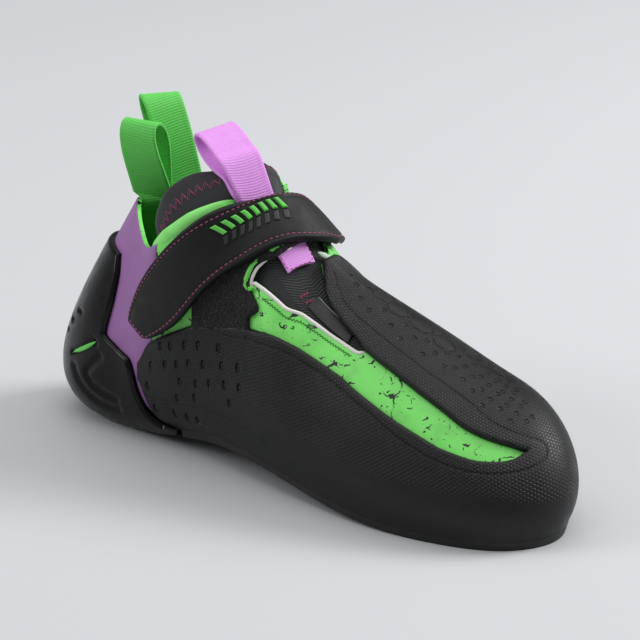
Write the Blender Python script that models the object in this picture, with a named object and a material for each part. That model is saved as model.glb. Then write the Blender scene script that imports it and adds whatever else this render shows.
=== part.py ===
"""A left climbing shoe: one hollow upper on a downturned last, a rubber rand, sole and heel cup, a padded tongue,
a closure strap over a fleece tab, and three webbing pull loops. Heel towards -X, toe towards +X, medial side -Y."""

import math

import bmesh
import bpy
import numpy as np

MM = 0.001
COLLECTION = "climbing_shoe"

# Driving sizes of the last
LENGTH = 240 * MM
BALL_WIDTH = 90 * MM
HEEL_WIDTH = 64 * MM
INSTEP_HEIGHT = 96 * MM
HEEL_HEIGHT = 88 * MM
ARCH_RISE = 10 * MM
INSOLE_LEVEL = 5.5 * MM

# Distances outwards from the last at which each layer starts and ends
UPPER = (0.0, 1.6 * MM)
RUBBER = (1.95 * MM, 4.1 * MM)
HEEL_RUBBER = (2.5 * MM, 4.5 * MM)
HEEL_SOLE = 6.6 * MM
TAB = (2.3 * MM, 3.95 * MM)
STRAP = (4.45 * MM, 7.2 * MM)
TONGUE = (-3.8 * MM, -0.8 * MM)
CLEARANCE = 0.35 * MM

# The sole lies under the feather line, the insole board between them
SOLE_DROP = 2.4 * MM
SOLE_THICKNESS = 3.1 * MM
SOLE_BACK = 3.38
BOARD = (0.3 * MM, 1.6 * MM)
BOARD_INSET = 0.8 * MM
BEVEL = 0.8 * MM

# The pull loops' webbing, how far the loops stand open, and how far the webbing lies from the last or the tongue
WEBBING_WIDTH = 16 * MM
WEBBING_THICKNESS = 1.3 * MM
HEEL_LOOP_DEPTH = 9.5 * MM
TONGUE_LOOP_DEPTH = 8.8 * MM
INSIDE_COLLAR = 0.8 * MM
OUTSIDE_COLLAR = 0.5 * MM
ON_TONGUE = 1.25 * MM

# The collar's opening ends at this row of the top line, and the cover over it rises by this share of its half width
COLLAR_FRONT = 5
COVER_RISE = 0.55
PROFILE_LENGTH = 85 * MM

# The feather line, where the last turns under the foot, with the shape of the profile that rises from it.
# x is a share of LENGTH, y of the width there, rise of ARCH_RISE, out and shoulder of the width,
# up and drop of the profile's height. Rows run from the heel along the medial side, round the toe and back.
PERIMETER = (
    # x, y, rise, out, up, shoulder, drop
    (0.059, 0.000, 0.00, 0.450, 0.09, 0.400, -0.52),
    (0.082, -0.160, 0.00, 0.385, 0.08, 0.250, -0.48),
    (0.158, -0.250, 0.05, 0.260, 0.06, 0.090, -0.40),
    (0.258, -0.300, 0.40, 0.180, 0.12, 0.040, -0.38),
    (0.375, -0.330, 0.90, 0.110, 0.18, 0.090, -0.30),
    (0.492, -0.360, 0.85, 0.090, 0.25, 0.230, -0.02),
    (0.608, -0.400, 0.40, 0.075, 0.32, 0.240, 0.00),
    (0.717, -0.425, 0.10, 0.065, 0.34, 0.250, 0.00),
    (0.813, -0.400, 0.00, 0.060, 0.36, 0.260, 0.00),
    (0.892, -0.340, 0.00, 0.065, 0.38, 0.270, -0.04),
    (0.941, -0.240, 0.00, 0.085, 0.36, 0.260, -0.06),
    (0.960, -0.100, 0.00, 0.100, 0.34, 0.240, -0.08),
    (0.934, 0.060, 0.00, 0.105, 0.34, 0.220, -0.08),
    (0.875, 0.190, 0.00, 0.095, 0.32, 0.180, -0.07),
    (0.800, 0.305, 0.05, 0.085, 0.30, 0.150, -0.08),
    (0.708, 0.385, 0.15, 0.075, 0.28, 0.130, -0.10),
    (0.604, 0.395, 0.35, 0.080, 0.26, 0.160, -0.10),
    (0.496, 0.360, 0.60, 0.090, 0.25, 0.230, -0.06),
    (0.383, 0.320, 0.60, 0.115, 0.18, 0.090, -0.30),
    (0.258, 0.290, 0.30, 0.180, 0.12, 0.040, -0.38),
    (0.158, 0.250, 0.05, 0.260, 0.06, 0.090, -0.40),
    (0.082, 0.160, 0.00, 0.385, 0.08, 0.250, -0.48),
)

# The top line: round the collar, then down the ridge of the instep to the toe box. One row for each pair of
# perimeter rows. x is a share of LENGTH, y and gap of the width there, the heights of HEEL_HEIGHT and INSTEP_HEIGHT.
TOP_LINE = (
    # x, y, of heel height, of instep height, gap
    (0.132, 0.00, 1.01, 0.00, 0.00),
    (0.158, 0.00, 0.985, 0.00, 0.13),
    (0.208, 0.00, 0.91, 0.00, 0.29),
    (0.267, 0.00, 0.60, 0.33, 0.40),
    (0.350, 0.00, 0.20, 0.85, 0.29),
    (0.417, 0.01, 0.00, 1.045, 0.00),
    (0.508, 0.02, 0.00, 0.85, 0.00),
    (0.600, 0.03, 0.00, 0.73, 0.00),
    (0.692, 0.04, 0.00, 0.635, 0.00),
    (0.767, 0.055, 0.00, 0.545, 0.00),
    (0.812, 0.06, 0.00, 0.50, 0.00),
    (0.830, 0.06, 0.00, 0.485, 0.00),
)
TOE = len(TOP_LINE) - 1
AROUND = len(PERIMETER)


def cyclic_spline(rows):
    """The smooth closed curve through the rows, one unit of its parameter to a row."""
    points = np.array(rows, float)
    n = len(points)
    system = 4 * np.eye(n) + np.roll(np.eye(n), 1, 0) + np.roll(np.eye(n), -1, 0)
    knots = np.linalg.solve(system, 6 * points)

    def at(q):
        q = np.asarray(q, float)
        i = np.floor(q).astype(int)
        t = (q - i)[..., None]
        weights = ((1 - t) ** 3, 3 * t**3 - 6 * t**2 + 4, -3 * t**3 + 3 * t**2 + 3 * t + 1, t**3)
        return sum(w * knots[(i + k - 1) % n] for k, w in enumerate(weights)) / 6

    return at


perimeter_at = cyclic_spline(PERIMETER)
top_line_at = cyclic_spline(TOP_LINE + TOP_LINE[-2:0:-1])


def curve(rows):
    """A curve through rows of a rising parameter and its values. It never passes a row, and is level past the ends."""
    rows = np.array(rows, float)
    t, values = rows[:, 0], rows[:, 1:]
    secants = np.diff(values, axis=0) / np.diff(t)[:, None]
    before, after = secants[:-1], secants[1:]
    turning = before * after <= 0
    middle = np.where(turning, 0, 2 * before * after / np.where(turning, 1, before + after))
    slopes = np.concatenate([secants[:1], middle, secants[-1:]])

    def at(q):
        q = np.clip(np.asarray(q, float), t[0], t[-1])
        i = np.clip(np.searchsorted(t, q, side="right") - 1, 0, len(t) - 2)
        span = (t[i + 1] - t[i])[..., None]
        s = (q - t[i])[..., None] / span
        ease = s * s * (3 - 2 * s)
        bend = s * (1 - s)
        ends = values[i] * (1 - ease) + values[i + 1] * ease
        return ends + span * bend * ((1 - s) * slopes[i] - s * slopes[i + 1])

    return at


def stack(x, y, z):
    return np.stack(np.broadcast_arrays(x, y, z), -1)


def unit(vectors):
    return vectors / np.maximum(np.linalg.norm(vectors, axis=-1, keepdims=True), 1e-12)


def width_at(x):
    """The width that lateral shares follow: the heel's behind the arch, the ball's in front of it."""
    t = np.clip((x - 0.15) / 0.40, 0, 1)
    t = t * t * (3 - 2 * t)
    return HEEL_WIDTH * (1 - t) + BALL_WIDTH * t


def foot_point(q):
    x, y, rise = np.moveaxis(perimeter_at(q), -1, 0)[:3]
    return stack(x * LENGTH, y * width_at(x), INSOLE_LEVEL + rise * ARCH_RISE)


def half_gap(q):
    """Half the width of the collar's opening at the top line, none in front of the instep."""
    x, _, _, _, gap = np.moveaxis(top_line_at(q), -1, 0)
    station = np.minimum(q % AROUND, -q % AROUND)
    return np.where(station < COLLAR_FRONT, np.maximum(gap, 0), 0) * width_at(x)


def top_point(q):
    x, y, heel, instep, _ = np.moveaxis(top_line_at(q), -1, 0)
    side = np.where(q % AROUND <= TOE, -1, 1)
    across = y * width_at(x) + side * half_gap(q)
    return stack(x * LENGTH, across, heel * HEEL_HEIGHT + instep * INSTEP_HEIGHT)


def outward(q):
    """The horizontal direction out of the feather line."""
    along = foot_point(q + 0.05) - foot_point(q - 0.05)
    return unit(stack(along[..., 1], -along[..., 0], 0 * along[..., 0]))


def last_point(q, h):
    """A point on the last: q runs round the perimeter, h up the profile from the feather line to the top line."""
    q, h = np.broadcast_arrays(np.asarray(q, float), np.asarray(h, float))
    x, _, _, out, up, shoulder, drop = np.moveaxis(perimeter_at(q), -1, 0)
    foot, top, n = foot_point(q), top_point(q), outward(q)
    width, height = width_at(x), top[..., 2] - foot[..., 2]
    rise = np.array((0, 0, 1.0))
    low = foot + n * (out * width)[..., None] + rise * (up * height)[..., None]
    high = top + n * (shoulder * width)[..., None] + rise * (drop * height)[..., None]
    h = h[..., None]
    t = 1 - h
    return t**3 * foot + 3 * t * t * h * low + 3 * t * h * h * high + h**3 * top


def last_normal(q, h):
    h = np.clip(h, 0.02, 0.96)
    around = last_point(q + 0.02, h) - last_point(q - 0.02, h)
    rising = last_point(q, h + 0.02) - last_point(q, h - 0.02)
    return unit(np.cross(around, rising))


def skin(q, h, lift=0.0):
    """A point at a distance outside the last. Both sides share their normal along the ridge."""
    q, h = np.broadcast_arrays(np.asarray(q, float), np.asarray(h, float))
    shared = np.where((h > 0.97) & (half_gap(q) < 1e-9), 1.0, 0.0)[..., None]
    normal = unit(last_normal(q, h) + shared * last_normal(-q, h))
    return last_point(q, h) + np.asarray(lift, float)[..., None] * normal


def cover_point(k, w):
    """The last with its collar closed over. k counts the top line's rows, w goes from -1 at the medial feather line
    over 0 on the ridge to 1 at the lateral one."""
    k, w = np.broadcast_arrays(np.asarray(k, float), np.asarray(w, float))
    q = np.where(w < 0, k, -k)
    gap = half_gap(q)
    over = gap / PROFILE_LENGTH
    h = (1 - np.abs(w)) * (1 + over)
    edge = top_point(q)
    centre = top_line_at(q)[..., 1] * width_at(top_line_at(q)[..., 0])
    crest = edge[..., 2] + COVER_RISE * gap
    apex = stack(edge[..., 0], centre, crest)
    shoulder = stack(edge[..., 0], centre + 0.85 * (edge[..., 1] - centre), crest)
    t = np.clip((h - 1) / np.maximum(over, 1e-9), 0, 1)[..., None]
    arch = (1 - t) ** 2 * edge + 2 * t * (1 - t) * shoulder + t * t * apex
    return np.where((h < 1)[..., None], last_point(q, np.minimum(h, 1)), arch)


def cover(k, w, lift=0.0):
    k, w = np.broadcast_arrays(np.asarray(k, float), np.asarray(w, float))
    along = cover_point(k + 0.03, w) - cover_point(k - 0.03, w)
    across = cover_point(k, w + 0.015) - cover_point(k, w - 0.015)
    normal = unit(np.cross(along, across))
    return cover_point(k, w) + np.asarray(lift, float)[..., None] * normal


def rows(first, last, step=1 / 3):
    return np.linspace(first, last, int(round((last - first) / step)) + 1)


def shell_rows(first):
    """The stations of the leather and the rubber, closer together where the rubber's lower edge turns steeply."""
    k = rows(0, TOE)
    for tip in (THROAT_TIP, LEAF_TIP):
        k[np.abs(k - tip).argmin()] = tip
    k = np.concatenate([k, STEEP_ROWS])
    return np.sort(k[k >= first - 1e-6])


# Where the panels end, at stations k of the top line, as heights on the profile. Medial and lateral are the rubber's
# edges, held on past its ends as a line of the lattice. Near and far are the two edges of the gap in the leather: far
# lies over the ridge on the medial side too, and is the rubber's edge as well.
PANELS = curve((
    # k, low, medial, lateral, near, far
    (0.00, 0.40, 0.450, 0.45, 1.00, 1.000),
    (2.333, 0.40, 0.450, 0.45, 1.00, 1.000),
    (2.667, 0.39, 0.480, 0.47, 1.00, 1.000),
    (3.0, 0.10, 0.565, 0.55, 1.00, 1.000),
    (3.333, 0.00, 0.575, 0.56, 1.00, 1.000),
    (3.8, 0.00, 0.562, 0.55, 1.00, 1.000),
    (4.333, 0.00, 0.498, 0.49, 1.00, 1.000),
    (4.667, 0.00, 0.467, 0.47, 0.72, 1.000),
    (5.0, 0.00, 0.458, 0.47, 0.60, 1.000),
    (5.6, 0.00, 0.490, 0.54, 0.60, 1.000),
    (6.0, 0.00, 0.515, 0.56, 0.64, 0.920),
    (6.333, 0.00, 0.523, 0.57, 0.65, 0.785),
    (6.667, 0.00, 0.520, 0.57, 0.65, 0.735),
    (7.0, 0.00, 0.496, 0.56, 0.645, 0.695),
    (7.167, 0.00, 0.484, 0.56, 0.665, 0.665),
    (7.667, 0.00, 0.450, 0.56, 0.635, 0.635),
    (8.1, 0.00, 0.430, 0.56, 0.610, 0.610),
    (8.5, 0.00, 0.415, 0.56, 0.590, 0.590),
    (8.95, 0.00, 0.415, 0.56, 0.555, 0.555),
    (9.4, 0.00, 0.430, 0.56, 0.540, 0.540),
    (9.85, 0.00, 0.465, 0.56, 0.530, 0.530),
    (10.2, 0.00, 0.515, 0.56, 0.515, 0.515),
    (11.0, 0.00, 0.560, 0.56, 1.000, 1.000),
))
LATERAL_TOP = curve((
    # k, height of the leather's lateral edge
    (0.0, 1.00),
    (4.0, 1.00),
    (4.667, 0.88),
    (5.333, 0.84),
    (5.667, 0.88),
    (6.0, 1.00),
    (11.0, 1.00),
))
RAND_BACK = 8 / 3
STEEP_ROWS = (2.75, 2.833, 2.917, 10.5, 10.833)
PATCH_BACK = 6.0
THROAT_TIP = 7.167
LEAF_TIP = 10.2


def between(low, high, count):
    """Rows of values from low to high, one row for each of their entries."""
    return low[:, None] + (high - low)[:, None] * np.linspace(0, 1, count + 1)


def lattice(k):
    """Heights on the profile shared by the leather and the rubber: the medial side's two bands, the lateral side's
    two and the strip over the ridge, each a row for every station."""
    _, medial, lateral, near, far = PANELS(k).T
    near = np.where(k >= THROAT_TIP - 1e-6, far, near)
    medial = np.where(k >= LEAF_TIP - 1e-6, np.minimum(medial, far), medial)
    zero = 0 * k
    return (between(zero, medial, 6), between(medial, near, 5), between(zero, lateral, 6),
            between(lateral, LATERAL_TOP(k)[:, 0], 5), between(far, zero + 1, 4))


def layer(q, h, lifts, clamp=None):
    """The inner and outer points of a sheet, held above a floor if there is one."""
    pair = [skin(q, h, lift) for lift in lifts]
    for points in pair:
        if clamp is not None:
            points[..., 2] = np.maximum(points[..., 2], clamp(q))
    return pair


# The heel cup's front edge, from the ground up: height on the profile, station
HEEL_CUP_EDGE = curve((
    (0.00, 3.28),
    (0.10, 2.95),
    (0.18, 2.80),
    (0.30, 2.66),
    (0.42, 2.53),
    (0.49, 2.38),
    (0.54, 1.90),
    (0.58, 1.48),
    (0.70, 1.42),
    (0.80, 1.30),
    (0.86, 1.10),
))


def closed_solid(name, pairs, material):
    """One closed solid between inner and outer grids of points. Grids that share an edge are joined along it."""
    keys, quads, start = [], [], 0
    for inner, outer in pairs:
        rows_count, columns = inner.shape[:2]
        keys.append(np.concatenate([inner.reshape(-1, 3), outer.reshape(-1, 3)], axis=1))
        index = start + np.arange(rows_count * columns).reshape(rows_count, columns)
        corners = np.stack([index[:-1, :-1], index[1:, :-1], index[1:, 1:], index[:-1, 1:]], -1)
        quads.append(corners.reshape(-1, 4))
        start += rows_count * columns
    keys = np.concatenate(keys)
    _, first, weld = np.unique(np.round(keys / (0.002 * MM) + 0.37), axis=0, return_index=True, return_inverse=True)
    weld = weld.reshape(-1)
    count = len(first)
    faces = []
    for quad in np.concatenate(quads):
        loop = [int(weld[i]) for i in quad]
        loop = [v for i, v in enumerate(loop) if v != loop[i - 1]]
        if len(loop) < 3 or len(set(loop)) < len(loop):
            continue
        faces.append(loop)
    # Every sheet is turned the same way, so that a shared edge runs once in each direction. The inner faces start at
    # the same corner as the outer ones, so that both sides and the layers beside them split along the same diagonals.
    turned = {}
    for loop in faces:
        for a, b in zip(loop, loop[1:] + loop[:1]):
            turned[(a, b)] = turned.get((a, b), 0) + 1
    rim = [edge for edge in turned if (edge[1], edge[0]) not in turned]
    solid = [[v + count for v in loop] for loop in faces]
    solid += [loop[:1] + loop[:0:-1] for loop in faces]
    solid += [[b + count, a + count, a, b] for a, b in rim]
    points = keys[first]
    points = np.concatenate([points[:, :3], points[:, 3:]])
    return make_object(name, points, solid, material)


def make_object(name, points, faces, material):
    mesh = bpy.data.meshes.new(name)
    mesh.from_pydata([tuple(p) for p in points], [], faces)
    work = bmesh.new()
    work.from_mesh(mesh)
    bmesh.ops.recalc_face_normals(work, faces=work.faces)
    work.to_mesh(mesh)
    work.free()
    mesh.polygons.foreach_set("use_smooth", [True] * len(mesh.polygons))
    mesh.set_sharp_from_angle(angle=math.radians(40))
    obj = bpy.data.objects.new(name, mesh)
    obj.data.materials.append(material)
    bpy.data.collections[COLLECTION].objects.link(obj)
    return obj


def flip(pair):
    """The same grids with their rows run the other way, which turns the sheet over."""
    return [points[::-1] for points in pair]


def upper(material):
    k = shell_rows(0)
    q = k[:, None]
    top = k >= PATCH_BACK - 1e-6
    low, high, lateral_low, lateral_high, over = lattice(k)
    sheets = [layer(q, low, UPPER), layer(q, high, UPPER), layer(q[top], over[top], UPPER)]
    sheets += [flip(layer(-q, lateral_low, UPPER)), flip(layer(-q, lateral_high, UPPER))]
    return closed_solid("upper", sheets, material)


def rand(material):
    k = shell_rows(RAND_BACK)
    q = k[:, None]
    low, high, lateral_low, lateral_high, over = lattice(k)
    cup = PANELS(k)[:, :1]
    top, tip = k >= PATCH_BACK - 1e-6, k >= LEAF_TIP - 1e-6

    def floor(q):
        return foot_point(q)[..., 2] - SOLE_DROP + CLEARANCE

    sheets = [layer(q, np.maximum(low, cup), RUBBER, floor), layer(q[tip], high[tip], RUBBER),
              layer(q[top], over[top], RUBBER), flip(layer(-q, np.maximum(lateral_low, cup), RUBBER, floor)),
              flip(layer(-q[top], lateral_high[top], RUBBER))]
    return closed_solid("rand", sheets, material)


def heel_cup(material):
    heights = np.array((0, 0.0375, 0.075, 0.1125, 0.15, 0.225, 0.30, 0.375, 0.45, 0.51, 0.56, 0.61, 0.67, 0.78, 0.86))
    share = np.linspace(0, 1, 9)[:, None]
    q = share * HEEL_CUP_EDGE(heights)[:, 0]
    h = np.broadcast_to(heights, q.shape)
    thick = HEEL_RUBBER[1] + (HEEL_SOLE - HEEL_RUBBER[1]) * (1 - h) ** 5
    pairs, feet = [], []
    for side in (1, -1):
        pair = [skin(side * q, h, HEEL_RUBBER[0]), skin(side * q, h, thick)]
        seat = foot_point(side * q[:, 0])[:, 2] - SOLE_DROP
        pair[0][:, 0, 2] = np.minimum(pair[0][:, 0, 2], seat)
        pair[1][..., 2] = np.maximum(pair[1][..., 2], 0)
        pairs.append(pair if side == 1 else flip(pair))
        feet.append([points[:, 0] for points in pair])
    across = np.linspace(0, 1, 6)[None, :, None]
    base = [b[:, None] * (1 - across) + a[:, None] * across for a, b in zip(*feet)]
    return closed_solid("heel_cup", pairs + [base], material)


def plate(name, stations, offset, drops, material, count=6, floor=0.0):
    """A plate across the sole between the two feather lines, offset in plan, with its top and bottom drops below."""
    across = np.linspace(0, 1, count + 1)[None, :, None]
    pair = []
    for drop, inset in zip(drops, (0.0, BEVEL if offset > 0 else 0.0)):
        edges = []
        for q in (-stations, stations):
            edge = foot_point(q) + outward(q) * (offset - inset)
            edge[:, 2] = np.maximum(edge[:, 2] - drop, floor)
            edges.append(edge[:, None])
        pair.append(edges[0] * (1 - across) + edges[1] * across)
    return closed_solid(name, [pair], material)


def outsole(material):
    stations = np.concatenate([[SOLE_BACK], rows(11 / 3, TOE)])
    return plate("outsole", stations, RUBBER[1], (SOLE_DROP, SOLE_DROP + SOLE_THICKNESS), material)


def insole(material):
    return plate("insole_board", rows(0, TOE, 0.5), -BOARD_INSET, BOARD, material, 4)


# The tongue's lower part lies inside the throat: station, medial and lateral end across the cover
TONGUE_SIDES = curve((
    # k, medial w, lateral w
    (4.4, -0.60, 0.50),
    (5.0, -0.57, 0.36),
    (6.0, -0.54, 0.12),
    (7.0, -0.50, -0.14),
    (7.75, -0.46, -0.24),
))
TONGUE_START = 7.75
TONGUE_FREE = 4.4

# Its free edge above the collar: share across, x of LENGTH, y of HEEL_WIDTH, z of INSTEP_HEIGHT
TONGUE_EDGE = curve((
    (-1.00, 0.204, -0.235, 0.79),
    (-0.80, 0.204, -0.255, 0.90),
    (-0.58, 0.240, -0.265, 1.05),
    (-0.30, 0.292, -0.175, 1.138),
    (0.00, 0.325, 0.000, 1.138),
    (0.30, 0.325, 0.210, 1.13),
    (0.58, 0.312, 0.310, 1.05),
    (0.80, 0.285, 0.320, 0.94),
    (1.00, 0.262, 0.310, 0.83),
))


def thicken(grid, below, above):
    """The grid of points moved both ways along its own normals."""
    along = np.gradient(grid, axis=0)
    across = np.gradient(grid, axis=1)
    normal = unit(np.cross(along, across))
    return [grid + below * normal, grid + above * normal]


def tongue_sheet(columns=12, lower=9, upper_rows=6):
    """The tongue's middle surface, from its free edge down to its end inside the toe box."""
    share = np.linspace(-1, 1, columns + 1)
    middle = (TONGUE[0] + TONGUE[1]) / 2

    def inside(k):
        medial, lateral = TONGUE_SIDES(k)
        return cover(k, (medial + lateral) / 2 + share * (lateral - medial) / 2, middle)

    start = inside(TONGUE_FREE)
    back = unit(inside(TONGUE_FREE) - inside(TONGUE_FREE + 0.1))
    edge = TONGUE_EDGE(share) * (LENGTH, HEEL_WIDTH, INSTEP_HEIGHT)
    reach = np.linalg.norm(edge - start, axis=1)[:, None]
    bend = start + back * 0.4 * reach
    free = []
    for t in np.linspace(1, 0, upper_rows + 1)[:-1]:
        free.append((1 - t) ** 2 * start + 2 * t * (1 - t) * bend + t * t * edge)
    return np.array(free + [inside(k) for k in np.linspace(TONGUE_FREE, TONGUE_START, lower + 1)])


def tongue(material):
    half = (TONGUE[1] - TONGUE[0]) / 2
    return closed_solid("tongue", [thicken(tongue_sheet(), -half, half)], material)


# The fleece tab that the strap closes on: share across the cover, its back and front station
TAB_ENDS = curve((
    # w, back k, front k
    (-0.515, 3.88, 5.00),
    (-0.470, 3.87, 5.20),
    (-0.415, 3.87, 5.02),
    (-0.355, 3.92, 5.10),
    (-0.250, 4.30, 5.42),
    (-0.115, 4.88, 5.62),
    (0.000, 5.02, 5.72),
    (0.120, 5.00, 5.72),
))
TAB_SIDES = (-0.515, 0.12)


def closure_tab(material):
    w = np.linspace(*TAB_SIDES, 15)
    back, front = TAB_ENDS(w).T
    k = between(back, front, 6)
    w = np.broadcast_to(w[:, None], k.shape)
    return closed_solid("closure_tab", [[cover(k, w, lift) for lift in TAB]], material)


# The strap's two edges, from the free end on the medial heel over the instep to its root on the lateral side
STRAP_EDGES = curve((
    # along, front k, front w, back k, back w
    (0.00, 3.00, -0.548, 2.54, -0.478),
    (0.25, 3.14, -0.566, 2.50, -0.450),
    (1.00, 3.66, -0.552, 2.74, -0.375),
    (2.00, 4.04, -0.475, 3.23, -0.310),
    (3.00, 4.46, -0.420, 3.68, -0.250),
    (4.00, 4.87, -0.360, 4.04, -0.195),
    (5.00, 5.30, -0.258, 4.42, -0.125),
    (6.00, 5.57, -0.135, 4.80, -0.055),
    (7.00, 5.80, -0.010, 5.05, 0.030),
    (8.00, 5.80, 0.085, 5.12, 0.120),
    (9.00, 5.64, 0.180, 5.02, 0.220),
    (10.0, 5.44, 0.280, 4.88, 0.330),
))


def strap_sheet(along, across):
    """Stations and shares across the cover for a point of the strap."""
    ends = STRAP_EDGES(along)
    return [ends[..., i] * (1 - across) + ends[..., i + 2] * across for i in (0, 1)]


def strap(material):
    along = np.concatenate([[0, 0.12], np.linspace(0.25, 10, 30)])
    k, w = strap_sheet(along[:, None], np.linspace(0, 1, 6)[None])
    return closed_solid("strap", [[cover(k, w, lift) for lift in STRAP]], material)


# A pull loop's cross-section: share of its height, share of its depth
LOOP_PATH = (
    (0.10, -0.05), (0.28, -0.28), (0.50, -0.48), (0.72, -0.55), (0.88, -0.44), (0.975, -0.20),
    (1.00, 0.05), (0.965, 0.28), (0.87, 0.46), (0.70, 0.52), (0.50, 0.46), (0.30, 0.34), (0.13, 0.24),
)


def webbing_loop(foot_rows, top, top_direction, depth, bias=0.0):
    """The middle surface of webbing that leaves a surface along rows of points and stands up as a loop.
    top is the middle of the fold, top_direction the webbing's direction across it."""
    last_row = foot_rows[-1]
    middle, half = last_row.mean(0), (last_row[-1] - last_row[0]) / 2
    top, fold = np.array(top), np.array(top_direction) * WEBBING_WIDTH / 2
    sheet = list(foot_rows)
    share = np.linspace(-1, 1, len(last_row))[:, None]
    for height, out in LOOP_PATH:
        turned = unit(half * (1 - height) + fold * height) * WEBBING_WIDTH / 2
        side = unit(np.cross(turned, top - middle))
        centre = middle + (top - middle) * height + side * (out + bias * min(1, 4 * height)) * depth
        sheet.append(centre + turned * share)
    return np.array(sheet)


def webbing(name, sheet, material):
    half = WEBBING_THICKNESS / 2
    return closed_solid(name, [thicken(sheet, -half, half)], material)


# Where the middle of each loop's fold stands: x of LENGTH, y of HEEL_WIDTH, z of HEEL_HEIGHT
NEAR_TOP = (0.144, -0.047, 1.383)
FAR_TOP = (0.102, 0.305, 1.432)
TONGUE_TOP = (0.273, 0.042, 1.318)


def loop_top(shares):
    return np.array(shares) * (LENGTH, HEEL_WIDTH, HEEL_HEIGHT)


def heel_loop_sheets():
    """The near loop stands inside the collar at the heel, the far one outside it on the lateral side."""
    near_q, far_q = np.linspace(0.15, -1.10, 5), np.linspace(-1.05, -2.05, 5)
    inside = -INSIDE_COLLAR - WEBBING_THICKNESS / 2
    outside = UPPER[1] + OUTSIDE_COLLAR + WEBBING_THICKNESS / 2
    near = [skin(near_q, h, inside) for h in (0.84, 0.90, 0.96, 1.0)]
    far = [skin(far_q, h, outside) for h in (0.89, 0.93, 0.97, 1.0)]
    near_loop = webbing_loop(near, loop_top(NEAR_TOP), (0.99, 0.10, 0), HEEL_LOOP_DEPTH)
    far_loop = webbing_loop(far, loop_top(FAR_TOP), (0.60, 0.80, 0), HEEL_LOOP_DEPTH)
    return near_loop, far_loop


# The tongue's webbing from its lower end up to where it leaves the tongue, by its medial and its lateral edge
TONGUE_WEBBING = (
    # medial k, medial w, lateral k, lateral w
    (5.62, -0.270, 5.92, -0.105),
    (5.43, -0.250, 5.72, -0.078),
    (5.05, -0.222, 5.40, -0.062),
    (4.70, -0.192, 5.08, -0.050),
    (4.38, -0.146, 4.78, -0.025),
)


def tongue_loop_sheet():
    """Webbing that lies on the tongue under the strap and stands up above it."""
    lift = TONGUE[1] + ON_TONGUE + WEBBING_THICKNESS / 2
    share = np.linspace(0, 1, 5)
    lower = []
    for medial_k, medial_w, lateral_k, lateral_w in TONGUE_WEBBING:
        k, w = medial_k + (lateral_k - medial_k) * share, medial_w + (lateral_w - medial_w) * share
        lower.append(cover(k, w, lift))
    return webbing_loop(lower, loop_top(TONGUE_TOP), (0.44, 0.88, 0.19), TONGUE_LOOP_DEPTH, 0.82)


def principled(name, colour, roughness):
    material = bpy.data.materials.new(name)
    material.use_nodes = True
    shader = material.node_tree.nodes["Principled BSDF"]
    shader.inputs["Base Color"].default_value = (*colour, 1)
    shader.inputs["Roughness"].default_value = roughness
    return material


def centre_on_floor(objects):
    """Moves every solid so that the whole object stands on the floor, centred over the origin."""
    corners = np.array([v.co for obj in objects for v in obj.data.vertices])
    low, high = corners.min(0), corners.max(0)
    for obj in objects:
        for v in obj.data.vertices:
            v.co.x -= (low[0] + high[0]) / 2
            v.co.y -= (low[1] + high[1]) / 2
            v.co.z -= low[2]


def build():
    for obj in list(bpy.data.objects):
        bpy.data.objects.remove(obj)
    bpy.context.scene.collection.children.link(bpy.data.collections.new(COLLECTION))
    near_loop, far_loop = heel_loop_sheets()
    leather = principled("green_leather", (0.20, 0.62, 0.16), 0.5)
    rubber = principled("black_rubber", (0.03, 0.03, 0.03), 0.6)
    webbing_green = principled("green_webbing", (0.05, 0.35, 0.04), 0.7)
    objects = [
        upper(leather),
        rand(principled("rand_rubber", (0.035, 0.035, 0.037), 0.55)),
        heel_cup(rubber),
        outsole(principled("sole_rubber", (0.02, 0.02, 0.02), 0.6)),
        insole(principled("insole_fibre", (0.35, 0.30, 0.24), 0.9)),
        tongue(principled("tongue_knit", (0.02, 0.02, 0.022), 0.8)),
        closure_tab(principled("tab_fleece", (0.012, 0.012, 0.012), 0.95)),
        strap(principled("strap_synthetic", (0.015, 0.015, 0.015), 0.5)),
        webbing("heel_loop_near", near_loop, webbing_green),
        webbing("heel_loop_far", far_loop, webbing_green),
        webbing("tongue_loop", tongue_loop_sheet(), principled("purple_webbing", (0.60, 0.22, 0.66), 0.7)),
    ]
    centre_on_floor(objects)


build()
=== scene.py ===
"""The looks of the climbing shoe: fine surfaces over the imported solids, drawn on the same last, and their finishes."""

import math

import bpy
import numpy as np
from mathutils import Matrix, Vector
from mathutils.kdtree import KDTree


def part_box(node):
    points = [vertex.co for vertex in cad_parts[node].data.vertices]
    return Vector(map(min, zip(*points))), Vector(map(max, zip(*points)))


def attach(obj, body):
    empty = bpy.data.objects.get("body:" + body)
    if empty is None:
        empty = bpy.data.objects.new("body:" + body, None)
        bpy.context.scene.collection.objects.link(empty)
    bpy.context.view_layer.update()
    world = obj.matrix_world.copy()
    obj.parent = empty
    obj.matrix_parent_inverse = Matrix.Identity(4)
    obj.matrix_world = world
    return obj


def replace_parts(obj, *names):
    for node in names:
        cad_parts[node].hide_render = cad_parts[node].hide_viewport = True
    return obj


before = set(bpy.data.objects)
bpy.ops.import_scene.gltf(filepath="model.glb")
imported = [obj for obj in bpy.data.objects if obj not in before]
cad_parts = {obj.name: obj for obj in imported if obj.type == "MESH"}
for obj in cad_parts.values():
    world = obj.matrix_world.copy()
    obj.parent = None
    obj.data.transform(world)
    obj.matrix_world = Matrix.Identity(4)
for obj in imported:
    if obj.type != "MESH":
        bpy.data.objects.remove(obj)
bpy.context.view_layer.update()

MM = 0.001
# Driving sizes of the last
LENGTH = 240 * MM
BALL_WIDTH = 90 * MM
HEEL_WIDTH = 64 * MM
INSTEP_HEIGHT = 96 * MM
HEEL_HEIGHT = 88 * MM
ARCH_RISE = 10 * MM
INSOLE_LEVEL = 5.5 * MM

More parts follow.
